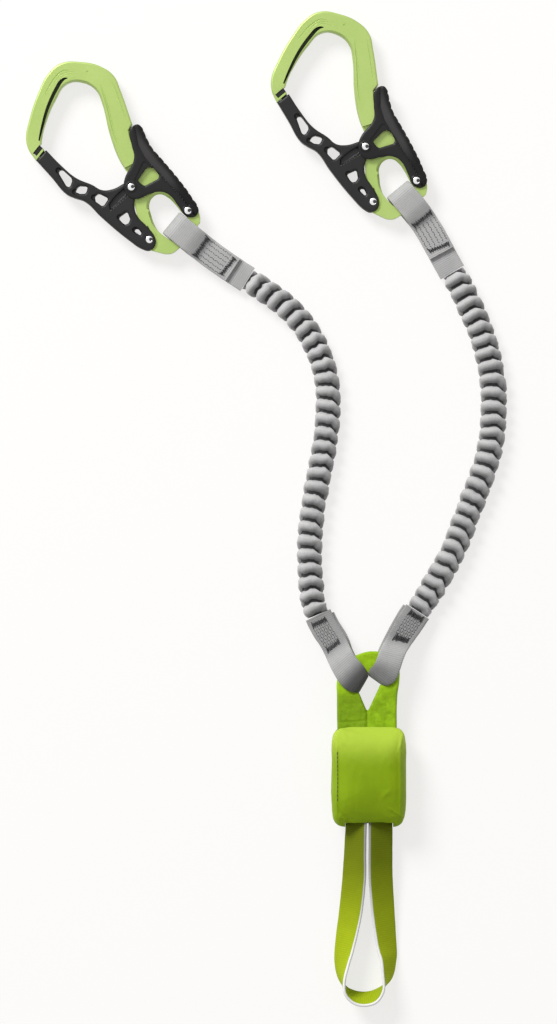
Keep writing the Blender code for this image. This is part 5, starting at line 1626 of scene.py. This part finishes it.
def upper_plan(side):
    """The strap from the carabiner's bar, bent smoothly into the sleeve's end."""
    x, y, lean = CARABINER_PLACES[side]
    inward = turned(bar_axes()[2], (0, 0), lean)
    centre = Vector((x, y))
    cavity = bar_reach() + FIT_GAP
    reach = cavity + STRAP_THICKNESS + EYE_SLACK
    straight = centre - inward * cavity
    end, ahead = sleeve_end(side, -1)
    pull = (end - straight).length / 2.6
    first = straight - inward * pull
    second = end + ahead * pull
    pairs = [selvedges(centre + inward * reach, -inward, STRAP_WIDTH)]
    steps = 24
    for step in range(steps + 1):
        t = step / steps
        middle = (
            straight * (1 - t) ** 3 + first * 3 * t * (1 - t) ** 2
            + second * 3 * t * t * (1 - t) + end * t ** 3
        )
        way = (
            (first - straight) * (1 - t) ** 2 + (second - first) * 2 * t * (1 - t)
            + (end - second) * t * t
        )
        pairs.append(selvedges(middle, way.normalized(), STRAP_WIDTH))
    return Plan(
        pairs, reach + cavity, (PLANE_HEIGHT, SLEEVE_HEIGHT), cavity, EYE_SLACK + cavity,
        UPPER_STITCH_START)


def lower_plan(side):
    """The strap from its fold round the arch, along the traced selvedges to the sleeve."""
    end, ahead = sleeve_end(side, 0)
    route = [
        (left_x * PART, ARCH_FOOT_Y + left_y * PART, right_x * PART, ARCH_FOOT_Y + right_y * PART)
        for left_x, left_y, right_x, right_y in LOWER_EYE_SHARES[side]
    ]
    route.append(selvedges(end + ahead * STRAP_WIDTH / 2, -ahead, STRAP_WIDTH))
    route.append(selvedges(end, -ahead, STRAP_WIDTH))
    cavity = ARCH_THICKNESS / 2 + SLIDE_GAP
    return Plan(
        smooth_curve(route, 6), cavity + STRAP_THICKNESS + LOWER_EYE_LEVEL, (ARCH_HEIGHT, SLEEVE_HEIGHT),
        cavity, LOWER_EYE_LEVEL, LOWER_STITCH_START, BACK_SLIDE[side])


def add_eye(name, body, mesh, plan, tacks, seam, shares, materials):
    """A strap with the bartacks and the rows of stitches on both its faces."""
    add_piece(name + "_webbing", mesh, materials["webbing"], body, [name])
    tack_lines = []
    seam_lines = []
    for way in (1, -1):
        for distance, reach, slant, low, high, seed in tacks:
            tack_lines += bartack(
                plan, distance * MM, reach * MM, slant * MM, low, high, way, seed)
        seam_lines += seam_rows(plan, *seam, shares, way)
    for label, lines, radius, thread in (
            ("_bartacks", tack_lines, BARTACK_THREAD, "dark_thread"),
            ("_seams", seam_lines, SEAM_THREAD, "grey_thread")):
        threads = thread_mesh(name + label, lines, radius)
        add_piece(name + label, threads, materials[thread], body)


def add_upper_eye(side, materials):
    name = side + "_upper_eye"
    seed = STRAP_SEEDS[side]
    plan = upper_plan(side)
    mesh = strap_mesh(name, plan.path(UPPER_TAIL, plan.length), STRAP_THICKNESS, seed=seed)
    tacks = [(*tack, seed + shift) for *tack, shift in UPPER_TACKS]
    add_eye(name, side + "_upper_strap", mesh, plan, tacks, UPPER_SEAM, UPPER_SEAM_SHARES, materials)


def lower_eye_shades(side, plan, layers):
    """Shadow on the strap where it folds round the arch, and a lighter one towards the sleeve."""
    fold = middle_of(plan.edges(0.0))
    shades = []
    for left, right in layers:
        reach = (((left + right) / 2).to_2d() - fold).length
        by_fold = 1 - smoothstep(*FOLD_SHADE_SPAN, reach)
        by_sleeve = smoothstep(*SLEEVE_SHADE_SPAN, reach)
        shades.append(FOLD_SHADE[side] * by_fold + SLEEVE_SHADE * by_sleeve)
    return shades


def add_lower_eye(side, materials):
    name = side + "_lower_eye"
    seed = STRAP_SEEDS[side]
    plan = lower_plan(side)
    layers = plan.path(plan.length, LOWER_TAIL)
    shades = lower_eye_shades(side, plan, layers)
    mesh = strap_mesh(name, layers, STRAP_THICKNESS, seed=seed + 5, shades=shades)
    low, high = LOWER_STITCH_SHARES[side]
    tacks = [(*tack, low, high, seed + shift) for *tack, shift in LOWER_TACKS]
    shares = [low + (high - low) * n / (LOWER_SEAM_ROWS - 1) for n in range(LOWER_SEAM_ROWS)]
    add_eye(name, side + "_lower_strap", mesh, plan, tacks, LOWER_SEAM, shares, materials)


def add_eyes(materials):
    for side in SIDES:
        add_upper_eye(side, materials)
        add_lower_eye(side, materials)


# Arms

def rib_profile(phase):
    """Height of a pleat between its valleys, 0 to 1: a round ridge that leans towards the carabiner."""
    off = (RIB_PEAK - phase) / RIB_PEAK if phase < RIB_PEAK else (phase - RIB_PEAK) / (1 - RIB_PEAK)
    off = min(off / 0.8, 1.0)
    return (1 - off * off) ** 0.75


def pleat_place(along, angle, seed):
    """The pleat that a place of the sleeve is on, and how far along it the place lies, 0 to 1.

    The pleats are shifted by half below, and they sway, tilt and droop a little.
    """
    cosine, sine = math.cos(angle), math.sin(angle)
    flip = 0.5 * smoothstep(-0.3, 0.3, -sine)
    sway = noise.noise(Vector((along * 0.35, cosine * 1.3, seed + 0.6 * sine))) * 0.12
    tilt = noise.noise(Vector((along * 0.22, 5.0, seed))) * 0.16 * cosine
    droop = (0.25 + 0.3 * noise.noise(Vector((along * 0.7, 9.0, seed)))) * smoothstep(0.45, 1.0, cosine)
    place = along + flip + sway + tilt + droop
    number = math.floor(place)
    return number, place - number


def sleeve_reach(along, angle, seed, number, pleat):
    """How far out the sleeve's cloth lies, as a share of its half width."""
    size = 1 + 0.07 * noise.noise(Vector((number * 3.3, seed, 1.0)))
    edge = abs(math.cos(angle)) ** 3
    valley = 0.44 + 0.2 * edge + 0.04 * noise.noise(Vector((number * 2.1, seed, angle)))
    share = (valley + (1 - valley) * pleat) * size
    share += 0.05 * edge * noise.noise(Vector((along * 2.6, angle * 2.0, seed)))
    share += 0.022 * noise.noise(Vector((along * 5.0, angle * 3.0, seed + 8)))
    ends = min(along, SLEEVE_RIBS - along)
    return share * (0.86 + 0.14 * smoothstep(0, 0.6, ends))


def sleeve_mesh(side):
    per_rib = 16
    around = 56
    half = SLEEVE_HALF_WIDTH[side]
    seed = SLEEVE_SEEDS[side]
    rows = SLEEVE_RIBS * per_rib
    points, length = even_points(sleeve_line(side), rows + 1)
    rings = []
    pleats = []
    rib_lee_shades = []
    for row, point in enumerate(points):
        ahead = way_along(points, row)
        aside = Vector((ahead.y, -ahead.x, 0))
        ring = []
        for step in range(around):
            angle = 2 * math.pi * step / around
            number, phase = pleat_place(row / per_rib, angle, seed)
            pleat = rib_profile(phase)
            reach = sleeve_reach(row / per_rib, angle, seed, number, pleat)
            spot = point + aside * (math.cos(angle) * half * reach)
            height = SLEEVE_HEIGHT + math.sin(angle) * half * reach * SLEEVE_FLATTENING
            ring.append(Vector((spot.x, spot.y, height)))
            pleats.append(pleat)
            # How far into the rib's lower flank a place lies, for the painted shade on that flank
            rib_lee_shades.append(max(1 - phase / RIB_PEAK, 0.0))
        rings.append(ring)

    def weave_at(row, step):
        return step / around * 2 * math.pi * half, row / rows * length

    return grid_mesh(side + "_sleeve", rings, weave_at, {"pleat": pleats, "rib_lee_shade": rib_lee_shades}), length


def add_arms(materials):
    """Both sleeves, from the arm's start to the upper eye."""
    for side in SIDES:
        mesh, length = sleeve_mesh(side)
        sleeve = add_piece(side + "_sleeve", mesh, materials["sleeve"], None, sharp_deg=180)
        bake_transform(sleeve)
        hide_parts(side + "_arm_sleeve", side + "_elastic_core")


# Arch, pouch and loop

def arch_height(x, y):
    """Half thickness of the arch in millimetres: the groove up its foot, buckles and a crease."""
    height = 2.5
    height -= 0.9 * math.exp(-((x + 2.0) / 0.7) ** 2) * (1 - smoothstep(20, 21.5, y)) * smoothstep(8, 10, y)
    height += 0.45 * noise.noise(Vector((x * 0.16, y * 0.16, 2.0)))
    height += 0.22 * noise.noise(Vector((x * 0.5, y * 0.5, 6.0)))
    height -= 0.35 * math.exp(-((y - 14.8 - 0.06 * x) / 0.5) ** 2) * (1 - smoothstep(-4, -2, x))
    return height


def add_arch(materials):
    outlines = [scaled(ARCH_OUTLINE_SHARES), scaled(ARCH_HOLE_SHARES)]
    plate = outline_mesh("arch_plate", outlines, ARCH_THICKNESS, ARCH_ROUND, 3, 8)
    mesh = reshaped(remeshed("arch", plate, ARCH_VOXEL), ARCH_CORE, ARCH_THICKNESS / 2, arch_height)
    mesh.transform(Matrix.Translation((0, ARCH_FOOT_Y, ARCH_HEIGHT)))
    add_piece("arch_webbing", mesh, materials["arch"], "absorber", ["absorber_arch"], 180)


def pillow_mesh(name, halves, columns, rows):
    """A crowned box: a superellipsoid, square in plan and softer in height."""
    plan_power = 7.0
    crown_power = 3.2

    def softened(value, power):
        return math.copysign(abs(value) ** (2 / power), value)

    rings = []
    for step in [0.02, 0.12, 0.4, *range(1, rows), rows - 0.4, rows - 0.12, rows - 0.02]:
        polar = math.pi * step / rows
        ring = []
        for column in range(columns):
            angle = 2 * math.pi * (column + 0.5) / columns
            spread = softened(math.sin(polar), crown_power)
            x = halves[0] * spread * softened(math.cos(angle), plan_power)
            y = halves[1] * spread * softened(math.sin(angle), plan_power)
            z = halves[2] * softened(math.cos(polar), crown_power)
            ring.append(Vector((x, y, z)) + Vector(POUCH_CENTRE))
        rings.append(ring)
    return grid_mesh(name, rings)


def shape_pouch(mesh):
    """Presses the side seams in, lets the cloth buckle a little and crowns its top."""
    mesh.update()
    normals = [vertex.normal.copy() for vertex in mesh.vertices]
    for vertex, normal in zip(mesh.vertices, normals):
        x, y, z = vertex.co / MM
        off_seam = x - POUCH_SEAM_X_MM + POUCH_SEAM_LEAN * abs(y)
        left = math.exp(-(off_seam / 0.55) ** 2) * (1 - smoothstep(15, 24, abs(y)))
        right = math.exp(-((x - 17.4) / 0.8) ** 2) * (1 - smoothstep(18, 26, abs(y)))
        depth = POUCH_SEAM_DEPTH * (left + 0.55 * right) if z > 12 else 0.0
        buckle = 0.45 * noise.noise(Vector((x * 0.09, y * 0.07, z * 0.1)))
        buckle += 0.2 * noise.noise(Vector((x * 0.35, y * 0.3, z * 0.3)))
        for start_x, start_y, end_x, end_y in POUCH_CREASE_SHARES:
            along = Vector((end_x - start_x, end_y - start_y))
            offset = Vector((x - start_x, y - start_y))
            share = offset.dot(along) / along.length_squared
            aside = abs(offset.x * along.y - offset.y * along.x) / along.length
            if 0 < share < 1:
                buckle -= 0.45 * math.sin(math.pi * share) ** 0.7 * math.exp(-(aside / 0.75) ** 2)
        if z > 1.0:
            vertex.co += normal * (buckle * MM - depth)
            crown = smoothstep(POUCH_CENTRE[2] / MM, 24, z) * (1 - (x / 24) ** 4)
            vertex.co.z += MM * crown * (0.9 - (7.2 if y > 0.5 else 5.2) * ((y - 0.5) / 30) ** 2)


def pouch_cutters(halves):
    """The hollow, all that is below the ground, and the mouths at the top and the bottom."""
    inner = [half - POUCH_WALL for half in halves]
    inner[2] -= POUCH_FLAT_CUT
    left, right = ARCH_OUTLINE_SHARES[-1][0] * PART, ARCH_OUTLINE_SHARES[2][0] * PART
    size = 2 * POUCH_HALF_LENGTH
    centre_y = POUCH_CENTRE[1]
    return [
        pillow_mesh("inside", inner, 80, 40),
        box_mesh("below", (-size, -size, -size), (size, size, 0)),
        box_mesh(
            "top_mouth", (left - MOUTH_SIDE_GAP, centre_y, ARCH_HEIGHT - TOP_MOUTH_HEIGHT / 2),
            (right + MOUTH_SIDE_GAP, size, ARCH_HEIGHT + TOP_MOUTH_HEIGHT / 2)),
        box_mesh(
            "bottom_mouth", (BOTTOM_MOUTH_LEFT, -size, BOTTOM_MOUTH_LOW),
            (BOTTOM_MOUTH_RIGHT, centre_y, BOTTOM_MOUTH_HIGH)),
    ]


def pouch_seam_mesh(cloth):
    """A row of stitches that lies on the cloth along the pouch's left seam."""
    surface = BVHTree.FromPolygons(
        [vertex.co for vertex in cloth.vertices], [tuple(polygon.vertices) for polygon in cloth.polygons])
    lines = []
    for number in range(12):
        high = 16 - 2.5 * number
        x = POUCH_SEAM_X_MM - POUCH_SEAM_LEAN * abs(high)
        above = [Vector((x, high - 1.9 * share, 40)) * MM for share in (0.0, 0.5, 1.0)]
        spots = [surface.ray_cast(place, Vector((0, 0, -1)))[0] for place in above]
        lines.append([spots[0], spots[1] + Vector((0, 0, 0.12 * MM)), spots[2]])
    return thread_mesh("pouch_seams", lines, POUCH_THREAD)


def add_pouch(materials):
    halves = (POUCH_HALF_WIDTH, POUCH_HALF_LENGTH, POUCH_HALF_DEPTH)
    outside = pillow_mesh("pouch", halves, 200, 90)
    shape_pouch(outside)
    mesh = carved("pouch", outside, pouch_cutters(halves))
    pouch = add_piece(
        "pouch_cloth", mesh, materials["cloth"], "absorber", ["pouch_cover"], 50)
    add_piece(
        "pouch_seams", pouch_seam_mesh(mesh), materials["green_thread"], "absorber")


def add_loop(materials):
    """The flat band of the loop, which rolls as it goes round."""
    rows = [
        (x * PART, LOOP_MOUTH_Y + y * PART, math.radians(roll), height * STRAP_WIDTH)
        for x, y, roll, height in LOOP_STATION_SHARES
    ]
    fine = smooth_curve(rows, 10)
    middles = [Vector((x, y, z)) for x, y, roll, z in fine]
    edges = []
    for number, (x, y, roll, z) in enumerate(fine):
        ahead = way_along(middles, number)
        inward = Vector((-ahead.y, ahead.x, 0)).normalized()
        across = inward * math.cos(roll) + Vector((0, 0, 1)) * math.sin(roll)
        across = (across - ahead * across.dot(ahead)).normalized()
        reach = across * STRAP_WIDTH / 2
        edges.append((middles[number] - reach, middles[number] + reach))
    shades = [LOOP_SHADE * smoothstep(*LOOP_SHADE_SPAN, middle.y) for middle in middles]
    mesh = strap_mesh("tie_in_loop", edges, STRAP_THICKNESS, seed=21.0, shades=shades)
    webbing = add_piece("tie_in_loop_webbing", mesh, materials["loop"], None)
    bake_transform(webbing)
    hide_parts("tie_in_loop")


def add_tear_webbing(materials):
    """The folded webbing inside the pouch, seen only through the pouch's mouths."""
    low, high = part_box("tear_webbing_pack")
    pitch = 2.6 * MM
    radius = pitch / 2
    thickness = 1.7 * MM
    folds = 7
    points = []
    for run in range(folds):
        z = (low[2] + high[2]) / 2 + (run - (folds - 1) / 2) * pitch
        if run % 2 == 0:
            start, end = low[1] + radius, high[1] - 2 * radius
        else:
            start, end = high[1] - 2 * radius, low[1] + 2 * radius
        points += [Vector((0, start + (end - start) * n / 12, z)) for n in range(13)]
        if run < folds - 1:
            way = 1 if end > start else -1
            for step in range(1, 6):
                angle = math.pi * step / 6
                y = end + way * radius * math.sin(angle)
                points.append(Vector((0, y, z + radius * (1 - math.cos(angle)))))
    edges = [(point + Vector((low[0], 0, 0)), point + Vector((high[0], 0, 0))) for point in points]
    mesh = strap_mesh("tear_webbing", edges, thickness, 0.05 * MM)
    add_piece(
        "tear_webbing_folds", mesh, materials["webbing"], "absorber", ["tear_webbing_pack"])


# Studio

def seen_share(nodes, share):
    """The share for camera, glossy and transmission rays, and 0 for the rest."""
    path = nodes.add("LightPath")
    seen = 0.0
    for ray in SEEING_RAYS:
        seen = nodes.math("MAXIMUM", path.outputs[ray], seen)
    return nodes.math("MULTIPLY", seen, share)


def floor_material():
    nodes = Nodes("floor", 0.9, 0.0)
    nodes.shader.inputs["Base Color"].default_value = (*FLOOR_COLOUR, 1)
    glow = nodes.add("Emission")
    glow.inputs["Color"].default_value = (*FLOOR_COLOUR, 1)
    blend = nodes.add("MixShader")
    nodes.link(seen_share(nodes, FLOOR_GLOW), blend.inputs[0])
    nodes.link(nodes.shader.outputs[0], blend.inputs[1])
    nodes.link(glow.outputs[0], blend.inputs[2])
    nodes.link(blend.outputs[0], nodes.tree.nodes["Material Output"].inputs["Surface"])
    return nodes.material


def add_floor(target):
    mesh = bpy.data.meshes.new("floor")
    corners = [(x * FLOOR_HALF, y * FLOOR_HALF, 0) for x, y in ((-1, -1), (1, -1), (1, 1), (-1, 1))]
    mesh.from_pydata(corners, [], [(0, 1, 2, 3)])
    mesh.materials.append(floor_material())
    floor = new_object("floor", mesh)
    floor.location = (target.x, target.y, 0)


def add_world():
    """A white world, at full strength where a ray sees it and at the fill's strength elsewhere."""
    world = bpy.data.worlds.new("studio")
    bpy.context.scene.world = world
    world.use_nodes = True
    tree = world.node_tree
    path = tree.nodes.new("ShaderNodeLightPath")
    background = tree.nodes["Background"]
    background.inputs["Color"].default_value = (1, 1, 1, 1)
    socket = background.inputs["Strength"]
    for ray in SEEING_RAYS:
        level = tree.nodes.new("ShaderNodeMath")
        level.operation = "MAXIMUM"
        tree.links.new(level.outputs[0], socket)
        tree.links.new(path.outputs[ray], level.inputs[0])
        socket = level.inputs[1]
    socket.default_value = FILL_LIGHT


def add_key(target):
    data = bpy.data.lights.new("key", "AREA")
    data.shape = "DISK"
    data.size = KEY_SIZE
    data.energy = KEY_POWER
    lamp = new_object("key", data)
    lamp.location = target + Vector(KEY_OFFSET)
    lamp.rotation_euler = (-Vector(KEY_OFFSET)).to_track_quat("-Z", "Y").to_euler()


def main():
    bpy.context.scene.view_settings.view_transform = "Standard"
    target = add_camera()
    materials = make_materials()
    add_arms(materials)
    add_carabiners(materials)
    add_eyes(materials)
    add_arch(materials)
    add_pouch(materials)
    add_loop(materials)
    add_tear_webbing(materials)
    add_floor(target)
    add_world()
    add_key(target)


main()
